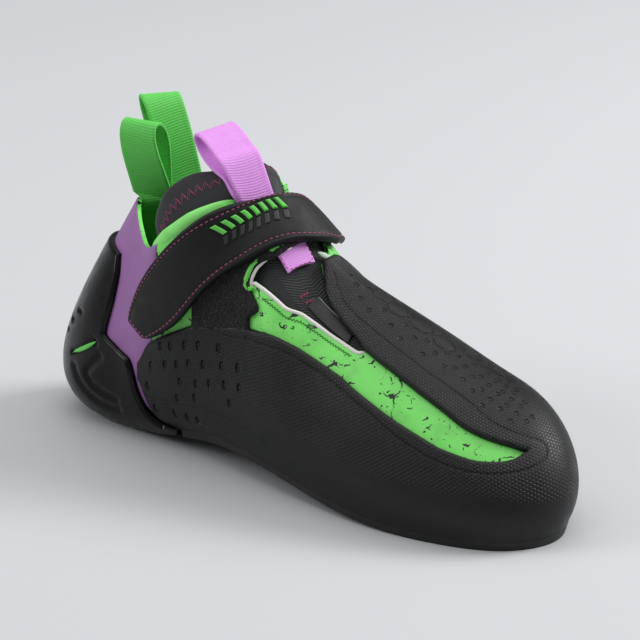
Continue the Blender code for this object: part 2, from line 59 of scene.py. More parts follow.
# Distances outwards from the last at which each layer starts and ends
UPPER = (0.0, 1.6 * MM)
RUBBER = (1.95 * MM, 4.1 * MM)
HEEL_RUBBER = (2.5 * MM, 4.5 * MM)
HEEL_SOLE = 6.6 * MM
TAB = (2.3 * MM, 3.95 * MM)
STRAP = (4.45 * MM, 7.2 * MM)
TONGUE = (-3.8 * MM, -0.8 * MM)

# The sole lies under the feather line, the insole board between them
SOLE_DROP = 2.4 * MM
SOLE_THICKNESS = 3.1 * MM
SOLE_BACK = 3.38
BOARD = (0.3 * MM, 1.6 * MM)
BOARD_INSET = 0.8 * MM
BEVEL = 0.8 * MM

# The pull loops' webbing, how far the loops stand open, and how far the webbing lies from the last or the tongue
WEBBING_WIDTH = 16 * MM
WEBBING_THICKNESS = 1.3 * MM
HEEL_LOOP_DEPTH = 9.5 * MM
TONGUE_LOOP_DEPTH = 8.8 * MM
INSIDE_COLLAR = 0.8 * MM
OUTSIDE_COLLAR = 0.5 * MM
ON_TONGUE = 1.25 * MM

# The collar's opening ends at this row of the top line, and the cover over it rises by this share of its half width
COLLAR_FRONT = 5
COVER_RISE = 0.55
PROFILE_LENGTH = 85 * MM

# The feather line, where the last turns under the foot, with the shape of the profile that rises from it.
# x is a share of LENGTH, y of the width there, rise of ARCH_RISE, out and shoulder of the width,
# up and drop of the profile's height. Rows run from the heel along the medial side, round the toe and back.
PERIMETER = (
    # x, y, rise, out, up, shoulder, drop
    (0.059, 0.000, 0.00, 0.450, 0.09, 0.400, -0.52),
    (0.082, -0.160, 0.00, 0.385, 0.08, 0.250, -0.48),
    (0.158, -0.250, 0.05, 0.260, 0.06, 0.090, -0.40),
    (0.258, -0.300, 0.40, 0.180, 0.12, 0.040, -0.38),
    (0.375, -0.330, 0.90, 0.110, 0.18, 0.090, -0.30),
    (0.492, -0.360, 0.85, 0.090, 0.25, 0.230, -0.02),
    (0.608, -0.400, 0.40, 0.075, 0.32, 0.240, 0.00),
    (0.717, -0.425, 0.10, 0.065, 0.34, 0.250, 0.00),
    (0.813, -0.400, 0.00, 0.060, 0.36, 0.260, 0.00),
    (0.892, -0.340, 0.00, 0.065, 0.38, 0.270, -0.04),
    (0.941, -0.240, 0.00, 0.085, 0.36, 0.260, -0.06),
    (0.960, -0.100, 0.00, 0.100, 0.34, 0.240, -0.08),
    (0.934, 0.060, 0.00, 0.105, 0.34, 0.220, -0.08),
    (0.875, 0.190, 0.00, 0.095, 0.32, 0.180, -0.07),
    (0.800, 0.305, 0.05, 0.085, 0.30, 0.150, -0.08),
    (0.708, 0.385, 0.15, 0.075, 0.28, 0.130, -0.10),
    (0.604, 0.395, 0.35, 0.080, 0.26, 0.160, -0.10),
    (0.496, 0.360, 0.60, 0.090, 0.25, 0.230, -0.06),
    (0.383, 0.320, 0.60, 0.115, 0.18, 0.090, -0.30),
    (0.258, 0.290, 0.30, 0.180, 0.12, 0.040, -0.38),
    (0.158, 0.250, 0.05, 0.260, 0.06, 0.090, -0.40),
    (0.082, 0.160, 0.00, 0.385, 0.08, 0.250, -0.48),
)

# The top line: round the collar, then down the ridge of the instep to the toe box. One row for each pair of
# perimeter rows. x is a share of LENGTH, y and gap of the width there, the heights of HEEL_HEIGHT and INSTEP_HEIGHT.
TOP_LINE = (
    # x, y, of heel height, of instep height, gap
    (0.132, 0.00, 1.01, 0.00, 0.00),
    (0.158, 0.00, 0.985, 0.00, 0.13),
    (0.208, 0.00, 0.91, 0.00, 0.29),
    (0.267, 0.00, 0.60, 0.33, 0.40),
    (0.350, 0.00, 0.20, 0.85, 0.29),
    (0.417, 0.01, 0.00, 1.045, 0.00),
    (0.508, 0.02, 0.00, 0.85, 0.00),
    (0.600, 0.03, 0.00, 0.73, 0.00),
    (0.692, 0.04, 0.00, 0.635, 0.00),
    (0.767, 0.055, 0.00, 0.545, 0.00),
    (0.812, 0.06, 0.00, 0.50, 0.00),
    (0.830, 0.06, 0.00, 0.485, 0.00),
)
TOE = len(TOP_LINE) - 1
AROUND = len(PERIMETER)


def cyclic_spline(rows):
    """The smooth closed curve through the rows, one unit of its parameter to a row."""
    points = np.array(rows, float)
    n = len(points)
    system = 4 * np.eye(n) + np.roll(np.eye(n), 1, 0) + np.roll(np.eye(n), -1, 0)
    knots = np.linalg.solve(system, 6 * points)

    def at(q):
        q = np.asarray(q, float)
        i = np.floor(q).astype(int)
        t = (q - i)[..., None]
        weights = ((1 - t) ** 3, 3 * t**3 - 6 * t**2 + 4, -3 * t**3 + 3 * t**2 + 3 * t + 1, t**3)
        return sum(w * knots[(i + k - 1) % n] for k, w in enumerate(weights)) / 6

    return at


perimeter_at = cyclic_spline(PERIMETER)
top_line_at = cyclic_spline(TOP_LINE + TOP_LINE[-2:0:-1])


def curve(rows):
    """A curve through rows of a rising parameter and its values. It never passes a row, and is level past the ends."""
    rows = np.array(rows, float)
    t, values = rows[:, 0], rows[:, 1:]
    secants = np.diff(values, axis=0) / np.diff(t)[:, None]
    before, after = secants[:-1], secants[1:]
    turning = before * after <= 0
    middle = np.where(turning, 0, 2 * before * after / np.where(turning, 1, before + after))
    slopes = np.concatenate([secants[:1], middle, secants[-1:]])

    def at(q):
        q = np.clip(np.asarray(q, float), t[0], t[-1])
        i = np.clip(np.searchsorted(t, q, side="right") - 1, 0, len(t) - 2)
        span = (t[i + 1] - t[i])[..., None]
        s = (q - t[i])[..., None] / span
        ease = s * s * (3 - 2 * s)
        bend = s * (1 - s)
        ends = values[i] * (1 - ease) + values[i + 1] * ease
        return ends + span * bend * ((1 - s) * slopes[i] - s * slopes[i + 1])

    return at


def stack(x, y, z):
    return np.stack(np.broadcast_arrays(x, y, z), -1)


def unit(vectors):
    return vectors / np.maximum(np.linalg.norm(vectors, axis=-1, keepdims=True), 1e-12)


# The width changes from the heel's to the ball's from this share of LENGTH, over this one
WIDTH_START, WIDTH_RUN = 0.15, 0.40
# Above this height the two sides share their normal where they meet on the ridge
RIDGE = 0.97


def width_at(x):
    """The width that lateral shares follow: the heel's behind the arch, the ball's in front of it."""
    t = np.clip((x - WIDTH_START) / WIDTH_RUN, 0, 1)
    t = t * t * (3 - 2 * t)
    return HEEL_WIDTH * (1 - t) + BALL_WIDTH * t


def foot_point(q):
    x, y, rise = np.moveaxis(perimeter_at(q), -1, 0)[:3]
    return stack(x * LENGTH, y * width_at(x), INSOLE_LEVEL + rise * ARCH_RISE)


def half_gap(q):
    """Half the width of the collar's opening at the top line, none in front of the instep."""
    x, _, _, _, gap = np.moveaxis(top_line_at(q), -1, 0)
    station = np.minimum(q % AROUND, -q % AROUND)
    return np.where(station < COLLAR_FRONT, np.maximum(gap, 0), 0) * width_at(x)


def top_point(q):
    x, y, heel, instep, _ = np.moveaxis(top_line_at(q), -1, 0)
    side = np.where(q % AROUND <= TOE, -1, 1)
    across = y * width_at(x) + side * half_gap(q)
    return stack(x * LENGTH, across, heel * HEEL_HEIGHT + instep * INSTEP_HEIGHT)


def outward(q):
    """The horizontal direction out of the feather line."""
    along = foot_point(q + 0.05) - foot_point(q - 0.05)
    return unit(stack(along[..., 1], -along[..., 0], 0 * along[..., 0]))


def last_point(q, h):
    """A point on the last: q runs round the perimeter, h up the profile from the feather line to the top line."""
    q, h = np.broadcast_arrays(np.asarray(q, float), np.asarray(h, float))
    x, _, _, out, up, shoulder, drop = np.moveaxis(perimeter_at(q), -1, 0)
    foot, top, n = foot_point(q), top_point(q), outward(q)
    width, height = width_at(x), top[..., 2] - foot[..., 2]
    rise = np.array((0, 0, 1.0))
    low = foot + n * (out * width)[..., None] + rise * (up * height)[..., None]
    high = top + n * (shoulder * width)[..., None] + rise * (drop * height)[..., None]
    h = h[..., None]
    t = 1 - h
    return t**3 * foot + 3 * t * t * h * low + 3 * t * h * h * high + h**3 * top


def last_normal(q, h):
    h = np.clip(h, 0.02, 0.96)
    around = last_point(q + 0.02, h) - last_point(q - 0.02, h)
    rising = last_point(q, h + 0.02) - last_point(q, h - 0.02)
    return unit(np.cross(around, rising))


def skin(q, h, lift=0.0):
    """A point at a distance outside the last. Both sides share their normal along the ridge."""
    q, h = np.broadcast_arrays(np.asarray(q, float), np.asarray(h, float))
    shared = np.where((h > RIDGE) & (half_gap(q) < 1e-9), 1.0, 0.0)[..., None]
    normal = unit(last_normal(q, h) + shared * last_normal(-q, h))
    return last_point(q, h) + np.asarray(lift, float)[..., None] * normal


def cover_point(k, w):
    """The last with its collar closed over. k counts the top line's rows, w goes from -1 at the medial feather line
    over 0 on the ridge to 1 at the lateral one."""
    k, w = np.broadcast_arrays(np.asarray(k, float), np.asarray(w, float))
    q = np.where(w < 0, k, -k)
    gap = half_gap(q)
    over = gap / PROFILE_LENGTH
    h = (1 - np.abs(w)) * (1 + over)
    edge = top_point(q)
    centre = top_line_at(q)[..., 1] * width_at(top_line_at(q)[..., 0])
    crest = edge[..., 2] + COVER_RISE * gap
    apex = stack(edge[..., 0], centre, crest)
    shoulder = stack(edge[..., 0], centre + 0.85 * (edge[..., 1] - centre), crest)
    t = np.clip((h - 1) / np.maximum(over, 1e-9), 0, 1)[..., None]
    arch = (1 - t) ** 2 * edge + 2 * t * (1 - t) * shoulder + t * t * apex
    return np.where((h < 1)[..., None], last_point(q, np.minimum(h, 1)), arch)


def cover(k, w, lift=0.0):
    k, w = np.broadcast_arrays(np.asarray(k, float), np.asarray(w, float))
    along = cover_point(k + 0.03, w) - cover_point(k - 0.03, w)
    across = cover_point(k, w + 0.015) - cover_point(k, w - 0.015)
    normal = unit(np.cross(along, across))
    return cover_point(k, w) + np.asarray(lift, float)[..., None] * normal


# Where the panels end, at stations k of the top line, as heights on the profile. Medial and lateral are the rubber's
# edges, held on past its ends as a line of the lattice. Near and far are the two edges of the gap in the leather: far
# lies over the ridge on the medial side too, and is the rubber's edge as well.
PANELS = curve((
    # k, low, medial, lateral, near, far
    (0.00, 0.40, 0.450, 0.45, 1.00, 1.000),
    (2.333, 0.40, 0.450, 0.45, 1.00, 1.000),
    (2.667, 0.39, 0.480, 0.47, 1.00, 1.000),
    (3.0, 0.10, 0.565, 0.55, 1.00, 1.000),
    (3.333, 0.00, 0.575, 0.56, 1.00, 1.000),
    (3.8, 0.00, 0.562, 0.55, 1.00, 1.000),
    (4.333, 0.00, 0.498, 0.49, 1.00, 1.000),
    (4.667, 0.00, 0.467, 0.47, 0.72, 1.000),
    (5.0, 0.00, 0.458, 0.47, 0.60, 1.000),
    (5.6, 0.00, 0.490, 0.54, 0.60, 1.000),
    (6.0, 0.00, 0.515, 0.56, 0.64, 0.920),
    (6.333, 0.00, 0.523, 0.57, 0.65, 0.785),
    (6.667, 0.00, 0.520, 0.57, 0.65, 0.735),
    (7.0, 0.00, 0.496, 0.56, 0.645, 0.695),
    (7.167, 0.00, 0.484, 0.56, 0.665, 0.665),
    (7.667, 0.00, 0.450, 0.56, 0.635, 0.635),
    (8.1, 0.00, 0.430, 0.56, 0.610, 0.610),
    (8.5, 0.00, 0.415, 0.56, 0.590, 0.590),
    (8.95, 0.00, 0.415, 0.56, 0.555, 0.555),
    (9.4, 0.00, 0.430, 0.56, 0.540, 0.540),
    (9.85, 0.00, 0.465, 0.56, 0.530, 0.530),
    (10.2, 0.00, 0.515, 0.56, 0.515, 0.515),
    (11.0, 0.00, 0.560, 0.56, 1.000, 1.000),
))
# The leather's upper edge on the lateral side
LATERAL_TOP = curve((
    # k, height on the profile
    (0.0, 1.00),
    (4.0, 1.00),
    (4.667, 0.88),
    (5.333, 0.84),
    (5.667, 0.88),
    (6.0, 1.00),
    (11.0, 1.00),
))
# Where the rubber and the toe patch start, and where the throat and the leather's leaf on the toe end
RAND_BACK = 8 / 3
PATCH_BACK = 6.0
THROAT_TIP = 7.167
LEAF_TIP = 10.2

# The heel cup's front edge, from the ground up: height on the profile, station
HEEL_CUP_EDGE = curve((
    (0.00, 3.28),
    (0.10, 2.95),
    (0.18, 2.80),
    (0.30, 2.66),
    (0.42, 2.53),
    (0.49, 2.38),
    (0.54, 1.90),
    (0.58, 1.48),
    (0.70, 1.42),
    (0.80, 1.30),
    (0.86, 1.10),
))

# The tongue's lower part lies inside the throat: station, medial and lateral end across the cover
TONGUE_SIDES = curve((
    # k, medial w, lateral w
    (4.4, -0.60, 0.50),
    (5.0, -0.57, 0.36),
    (6.0, -0.54, 0.12),
    (7.0, -0.50, -0.14),
    (7.75, -0.46, -0.24),
))
TONGUE_START = 7.75
TONGUE_FREE = 4.4

# Its free edge above the collar: share across, x of LENGTH, y of HEEL_WIDTH, z of INSTEP_HEIGHT
TONGUE_EDGE = curve((
    (-1.00, 0.204, -0.235, 0.79),
    (-0.80, 0.204, -0.255, 0.90),
    (-0.58, 0.240, -0.265, 1.05),
    (-0.30, 0.292, -0.175, 1.138),
    (0.00, 0.325, 0.000, 1.138),
    (0.30, 0.325, 0.210, 1.13),
    (0.58, 0.312, 0.310, 1.05),
    (0.80, 0.285, 0.320, 0.94),
    (1.00, 0.262, 0.310, 0.83),
))

# The fleece tab that the strap closes on: share across the cover, its back and front station
TAB_ENDS = curve((
    # w, back k, front k
    (-0.515, 3.88, 5.00),
    (-0.470, 3.87, 5.20),
    (-0.415, 3.87, 5.02),
    (-0.355, 3.92, 5.10),
    (-0.250, 4.30, 5.42),
    (-0.115, 4.88, 5.62),
    (0.000, 5.02, 5.72),
    (0.120, 5.00, 5.72),
))
TAB_SIDES = (-0.515, 0.12)

# The strap's two edges, from the free end on the medial heel over the instep to its root on the lateral side
STRAP_EDGES = curve((
    # along, front k, front w, back k, back w
    (0.00, 3.00, -0.548, 2.54, -0.478),
    (0.25, 3.14, -0.566, 2.50, -0.450),
    (1.00, 3.66, -0.552, 2.74, -0.375),
    (2.00, 4.04, -0.475, 3.23, -0.310),
    (3.00, 4.46, -0.420, 3.68, -0.250),
    (4.00, 4.87, -0.360, 4.04, -0.195),
    (5.00, 5.30, -0.258, 4.42, -0.125),
    (6.00, 5.57, -0.135, 4.80, -0.055),
    (7.00, 5.80, -0.010, 5.05, 0.030),
    (8.00, 5.80, 0.085, 5.12, 0.120),
    (9.00, 5.64, 0.180, 5.02, 0.220),
    (10.0, 5.44, 0.280, 4.88, 0.330),
))
STRAP_ROWS = 10


def strap_sheet(along, across):
    """Stations and shares across the cover for a point of the strap."""
    ends = STRAP_EDGES(along)
    return [ends[..., i] * (1 - across) + ends[..., i + 2] * across for i in (0, 1)]


# A pull loop's cross-section: share of its height, share of its depth
LOOP_PATH = (
    (0.10, -0.05), (0.28, -0.28), (0.50, -0.48), (0.72, -0.55), (0.88, -0.44), (0.975, -0.20),
    (1.00, 0.05), (0.965, 0.28), (0.87, 0.46), (0.70, 0.52), (0.50, 0.46), (0.30, 0.34), (0.13, 0.24),
)


def webbing_loop(foot_rows, top, top_direction, depth, bias=0.0):
    """The middle surface of webbing that leaves a surface along rows of points and stands up as a loop.
    top is the middle of the fold, top_direction the webbing's direction across it."""
    last_row = foot_rows[-1]
    middle, half = last_row.mean(0), (last_row[-1] - last_row[0]) / 2
    top, fold = np.array(top), np.array(top_direction) * WEBBING_WIDTH / 2
    sheet = list(foot_rows)
    share = np.linspace(-1, 1, len(last_row))[:, None]
    for height, out in LOOP_PATH:
        turned = unit(half * (1 - height) + fold * height) * WEBBING_WIDTH / 2
        side = unit(np.cross(turned, top - middle))
        centre = middle + (top - middle) * height + side * (out + bias * min(1, 4 * height)) * depth
        sheet.append(centre + turned * share)
    return np.array(sheet)


# Where the middle of each loop's fold stands: x of LENGTH, y of HEEL_WIDTH, z of HEEL_HEIGHT
NEAR_TOP = (0.144, -0.047, 1.383)
FAR_TOP = (0.102, 0.305, 1.432)
TONGUE_TOP = (0.273, 0.042, 1.318)


def loop_top(shares):
    return np.array(shares) * (LENGTH, HEEL_WIDTH, HEEL_HEIGHT)


def heel_loop_sheets():
    """The near loop stands inside the collar at the heel, the far one outside it on the lateral side."""
    near_q, far_q = np.linspace(0.15, -1.10, 5), np.linspace(-1.05, -2.05, 5)
    inside = -INSIDE_COLLAR - WEBBING_THICKNESS / 2
    outside = UPPER[1] + OUTSIDE_COLLAR + WEBBING_THICKNESS / 2
    near = [skin(near_q, h, inside) for h in (0.84, 0.90, 0.96, 1.0)]
    far = [skin(far_q, h, outside) for h in (0.89, 0.93, 0.97, 1.0)]
    near_loop = webbing_loop(near, loop_top(NEAR_TOP), (0.99, 0.10, 0), HEEL_LOOP_DEPTH)
    far_loop = webbing_loop(far, loop_top(FAR_TOP), (0.60, 0.80, 0), HEEL_LOOP_DEPTH)
    return near_loop, far_loop


# The tongue's webbing from its lower end up to where it leaves the tongue, by its medial and its lateral edge
TONGUE_WEBBING = (
    # medial k, medial w, lateral k, lateral w
    (5.62, -0.270, 5.92, -0.105),
    (5.43, -0.250, 5.72, -0.078),
    (5.05, -0.222, 5.40, -0.062),
    (4.70, -0.192, 5.08, -0.050),
    (4.38, -0.146, 4.78, -0.025),
)


def tongue_loop_sheet():
    """Webbing that lies on the tongue under the strap and stands up above it."""
    lift = TONGUE[1] + ON_TONGUE + WEBBING_THICKNESS / 2
    share = np.linspace(0, 1, 5)
    lower = []
    for medial_k, medial_w, lateral_k, lateral_w in TONGUE_WEBBING:
        k, w = medial_k + (lateral_k - medial_k) * share, medial_w + (lateral_w - medial_w) * share
        lower.append(cover(k, w, lift))
    return webbing_loop(lower, loop_top(TONGUE_TOP), (0.44, 0.88, 0.19), TONGUE_LOOP_DEPTH, 0.82)


def frame_shift():
    """How far the part's frame lies from the last's own, from the box of the insole board."""
    stations = np.linspace(0, TOE, 2 * TOE + 1)
    edge = np.concatenate([foot_point(q) - BOARD_INSET * outward(q) for q in (stations, -stations)])
    top, bottom = edge - (0, 0, BOARD[0]), edge - (0, 0, BOARD[1])
    own = (np.minimum(top, bottom).min(0) + np.maximum(top, bottom).max(0)) / 2
    low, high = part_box("insole_board")
    return (np.array(low) + np.array(high)) / 2 - own


SHIFT = frame_shift()


# Meshes

def lengths(grid):
    """Arc lengths along the rows and the columns of a grid of points."""
    down = np.cumsum(np.linalg.norm(np.diff(grid, axis=0), axis=-1), axis=0)
    across = np.cumsum(np.linalg.norm(np.diff(grid, axis=1), axis=-1), axis=1)
    return np.pad(down, ((1, 0), (0, 0))), np.pad(across, ((0, 0), (1, 0)))


def uv_of(grid):
    """The two lengths of a grid of points in mm, for patterns along it and across it."""
    return np.stack(lengths(grid), -1) / MM


# Faces that meet at less than this angle are shaded as one surface
SMOOTH_ANGLE = math.radians(48)


def build(name, points, corners, totals, uv, values, materials, slots=None):
    """An object on the part's one body, from the corners of its faces and how many each face has."""
    mesh = bpy.data.meshes.new(name)
    mesh.vertices.add(len(points))
    mesh.vertices.foreach_set("co", (points + SHIFT).astype(np.float32).ravel())
    mesh.loops.add(len(corners))
    mesh.loops.foreach_set("vertex_index", corners.astype(np.int32))
    mesh.polygons.add(len(totals))
    mesh.polygons.foreach_set("loop_start", np.concatenate([[0], np.cumsum(totals)[:-1]]).astype(np.int32))
    if slots is not None:
        mesh.polygons.foreach_set("material_index", slots.astype(np.int32))
    mesh.update(calc_edges=True)
    if uv is not None:
        mesh.uv_layers.new(name="UVMap").data.foreach_set("uv", uv.astype(np.float32).ravel())
    for key, value in values.items():
        mesh.attributes.new(key, "FLOAT", "POINT").data.foreach_set("value", value.astype(np.float32))
    mesh.validate()
    mesh.polygons.foreach_set("use_smooth", [True] * len(mesh.polygons))
    mesh.set_sharp_from_angle(angle=SMOOTH_ANGLE)
    obj = bpy.data.objects.new(name, mesh)
    for material in materials:
        mesh.materials.append(material)
    bpy.context.scene.collection.objects.link(obj)
    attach(obj, "root")
    return obj


def solid(name, sheets, materials, values=None, back=True):
    """A mesh from sheets of (outer points, inner points, uv in mm). Sheets that share an edge are joined along it,
    and open edges get a rim. Without its back only the outside and the rim are made."""
    outer, inner = (np.concatenate([s[i].reshape(-1, 3) for s in sheets]) for i in (0, 1))
    uv = np.concatenate([s[2].reshape(-1, 2) for s in sheets])
    corners, start = [], 0
    for s in sheets:
        n, m = s[0].shape[:2]
        index = start + np.arange(n * m).reshape(n, m)
        corners.append(np.stack([index[:-1, :-1], index[1:, :-1], index[1:, 1:], index[:-1, 1:]], -1).reshape(-1, 4))
        start += n * m
    corners = np.concatenate(corners)
    keys = np.round(np.hstack([outer, inner]) / (0.003 * MM) + 0.37)
    _, first, weld = np.unique(keys, axis=0, return_index=True, return_inverse=True)
    weld = weld.reshape(-1)
    count = len(first)
    welded = weld[corners]
    keep = welded != np.roll(welded, 1, axis=1)
    good = (keep.sum(1) >= 3) & (welded[:, 0] != welded[:, 2]) & (welded[:, 1] != welded[:, 3])
    corners, welded, keep = corners[good], welded[good], keep[good]
    a, b = welded, np.roll(welded, -1, axis=1)
    apart = a != b
    a, b = a[apart], b[apart]
    rim = ~np.isin(a * count + b, b * count + a)
    a, b = a[rim], b[rim]
    loops, source, totals, slots = [welded[keep]], [uv[corners[keep]]], [keep.sum(1)], [np.zeros(len(keep))]
    if back:
        turned, kept = welded[:, ::-1], keep[:, ::-1]
        loops.append(turned[kept] + count)
        source.append(uv[corners[:, ::-1][kept]])
        totals.append(keep.sum(1))
        slots.append(np.ones(len(keep)))
    ring = np.stack([b, a, a + count, b + count], -1)
    loops.append(ring.ravel())
    source.append(uv[first][ring % count].reshape(-1, 2))
    totals.append(np.full(len(ring), 4))
    slots.append(np.zeros(len(ring)))
    loops = np.concatenate(loops)
    used, loops = np.unique(loops, return_inverse=True)
    points = np.concatenate([outer[first], inner[first]])[used]
    attributes = {key: np.tile(np.concatenate([v.reshape(-1) for v in value])[first], 2)[used]
                  for key, value in (values or {}).items()}
    slots = np.minimum(np.concatenate(slots), len(materials) - 1)
    return build(name, points, loops.reshape(-1), np.concatenate(totals), np.concatenate(source), attributes,
                 materials, slots)


def packed(span, radius, step):
    """Shares from 0 to 1 along a span, about a step apart, and closer together within a radius of its ends."""
    near = np.array((0, 0.06, 0.22, 0.5, 1.0)) * min(radius / span, 0.3)
    middle = np.linspace(near[-1], 1 - near[-1], max(2, int(round(span / step))))
    return np.concatenate([near[:-1], middle, 1 - near[-2::-1]])


def rounded(distance, radius):
    """The share of its height that a rounded edge has at a distance from it."""
    t = np.clip(distance / radius, 0, 1)
    return np.sqrt(np.maximum(1 - (1 - t) ** 2, 0))


def slab(name, point, a, b, lifts, radius, materials, relief=None, least=0.25):
    """A closed sheet with rounded edges over a surface: point(a, b, lift) for the rows a and the columns b."""
    a, b = np.meshgrid(a, b, indexing="ij")
    flat = point(a, b, np.full(a.shape, lifts[0]))
    down, across = lengths(flat)
    edge = np.minimum(np.minimum(down, down[-1:] - down), np.minimum(across, across[:, -1:] - across))
    full = lifts[1] - lifts[0] + (relief(down, across) if relief else 0)
    lift = lifts[0] + full * (least + (1 - least) * rounded(edge, radius))
    return solid(name, [(point(a, b, lift), flat, uv_of(flat))], materials)


def raised(point, a, b, lift, base=0.0):
    """Points above a surface and the direction away from it there."""
    points = point(a, b, lift)
    return points, unit(points - point(a, b, base))


def resampled(rows, count):
    """Rows of points drawn into a smooth run of count rows."""
    rows = np.array(rows, float)
    padded = np.concatenate([2 * rows[:1] - rows[1:2], rows, 2 * rows[-1:] - rows[-2:-1]])
    t = np.linspace(0, len(rows) - 1, count)
    i = np.minimum(t.astype(int), len(rows) - 2)
    s = (t - i).reshape(-1, *[1] * (rows.ndim - 1))
    p = [padded[i + n] for n in range(4)]
    return 0.5 * (2 * p[1] + (p[2] - p[0]) * s + (2 * p[0] - 5 * p[1] + 4 * p[2] - p[3]) * s**2
                  + (3 * p[1] - p[0] - 3 * p[2] + p[3]) * s**3)


def run_of(path):
    """How far along a path each of its points lies."""
    return np.concatenate([[0], np.cumsum(np.linalg.norm(np.diff(path, axis=0), axis=1))])


def at_runs(values, run, at):
    """What a path's values are at other places along it."""
    return np.stack([np.interp(at, run, column) for column in values.T], -1)


def evenly(path, step):
    """A path's points a step apart, with the first and the last kept."""
    run = run_of(path)
    return at_runs(path, run, np.linspace(0, run[-1], max(2, int(round(run[-1] / step)) + 1)))


def nearest(points, path):
    """The number of the path's point that lies nearest to each point, and its distance."""
    tree = KDTree(len(path))
    for i, p in enumerate(path):
        tree.insert(p, i)
    tree.balance()
    found = [tree.find(p)[1:] for p in points.reshape(-1, 3)]
    return tuple(np.array(x).reshape(points.shape[:-1]) for x in zip(*found))


def line_distance(points, path, normals):
    """Distance from a line drawn on a surface, below 0 on its one side."""
    index, _ = nearest(points, path)
    along = unit(np.gradient(path, axis=0))
    side = unit(np.cross(normals, along))
    gap = points - path[index]
    across = (gap * side[index]).sum(-1)
    beyond = (gap * along[index]).sum(-1)
    ends = (index == 0) | (index == len(path) - 1)
    return np.where(ends, np.copysign(np.hypot(across, beyond), across), across)


DRAWN_STEP, DRAWN_COUNT = 0.5 * MM, 400


def drawn(table):
    """The last's stations and heights along a smooth line through the rows of a table."""
    at = resampled(table, DRAWN_COUNT)
    run = run_of(skin(at[:, 0], at[:, 1]))
    return at_runs(at, run, np.linspace(0, run[-1], max(2, int(run[-1] / DRAWN_STEP)))).T


def oval_distance(points, centre, along, length, width):
    """How far points lie from a centre, 1 on the oval with that half length and half width in mm."""
    offset = (points - centre) / MM
    run = (offset * along).sum(-1)
    return np.sqrt(np.maximum((offset**2).sum(-1) - run**2, 0) / width**2 + run**2 / length**2)


def tube(name, path, normals, half_width, half_height, material, sides=12, taper=0.0):
    """A cord-like edging along a path, wider along the surface than it is high."""
    side = unit(np.cross(normals, unit(np.gradient(path, axis=0))))
    angle = np.linspace(0, 2 * np.pi, sides + 1)[:-1, None]
    run = np.linspace(0, 1, len(path))
    swell = np.clip(np.minimum(run, 1 - run) / taper, 0.02, 1)[:, None, None] ** 0.5 if taper else 1
    ring = (path[:, None] + side[:, None] * (np.cos(angle) * half_width * swell)
            + normals[:, None] * (np.sin(angle) * half_height * swell))
    n, m = ring.shape[:2]
    index = np.arange(n * m).reshape(n, m)
    turned = np.roll(index, -1, axis=1)
    quads = np.stack([index[:-1], turned[:-1], turned[1:], index[1:]], -1).reshape(-1, 4)
    loops = np.concatenate([quads.ravel(), index[0][::-1], index[-1]])
    totals = np.concatenate([np.full(len(quads), 4), (m, m)])
    uv = np.stack(np.broadcast_arrays(run_of(path)[:, None] / MM, np.arange(m)[None] * 0.3), -1).reshape(-1, 2)
    return build(name, ring.reshape(-1, 3), loops, totals, uv[loops], {}, [material])


def stitches(name, runs, normals, radius, material):
    """Short threads between pairs of points, each lying on its surface."""
    a, b = np.moveaxis(np.array(runs), 1, 0)
    normals = np.array(normals)
    along = b - a
    side = unit(np.cross(normals, along))
    up = unit(np.cross(along, side))
    up = up * np.sign((up * normals).sum(-1, keepdims=True))
    t = np.array((0, 0.12, 0.35, 0.65, 0.88, 1.0))
    swell = np.array((0.35, 0.85, 1.0, 1.0, 0.85, 0.35))
    rise = np.array((-0.6, 0.1, 0.5, 0.5, 0.1, -0.6)) * radius
    angle = np.linspace(0, 2 * np.pi, 7)[:-1]
    spine = a[:, None] + along[:, None] * t[None, :, None] + up[:, None] * rise[None, :, None]
    ring = (spine[:, :, None] + radius * swell[None, :, None, None]
            * (side[:, None, None] * np.cos(angle)[None, None, :, None]
               + up[:, None, None] * np.sin(angle)[None, None, :, None]))
    count, n, m = ring.shape[:3]
    index = np.arange(count * n * m).reshape(count, n, m)
    turned = np.roll(index, -1, axis=2)
    quads = np.stack([index[:, :-1], index[:, 1:], turned[:, 1:], turned[:, :-1]], -1).reshape(-1, 4)
    ends = np.concatenate([index[:, 0], index[:, -1, ::-1]])
    loops = np.concatenate([quads.ravel(), ends.ravel()])
    totals = np.concatenate([np.full(len(quads), 4), np.full(len(ends), m)])
    return build(name, ring.reshape(-1, 3), loops, totals, None, {}, [material])


def dashes(path, normals, stitch, gap):
    """Pairs of points along a path for a row of stitches."""
    run = run_of(path)
    starts = np.arange(0.5 * gap, run[-1] - stitch, stitch + gap)
    pairs = zip(at_runs(path, run, starts), at_runs(path, run, starts + stitch))
    return list(pairs), list(unit(at_runs(normals, run, starts)))


def zigzag(path, normals, half, pitch):
    """Pairs of points for a zigzag of that half width and pitch along a path."""
    run = run_of(path)
    at = np.arange(0, run[-1], pitch / 2)
    p, n = at_runs(path, run, at), unit(at_runs(normals, run, at))
    side = unit(np.cross(n, np.gradient(p, axis=0)))
    p = p + side * (half * (1 - 2 * (np.arange(len(p)) % 2)))[:, None]
    return list(zip(p, p[1:])), list(n[:-1])


# Materials

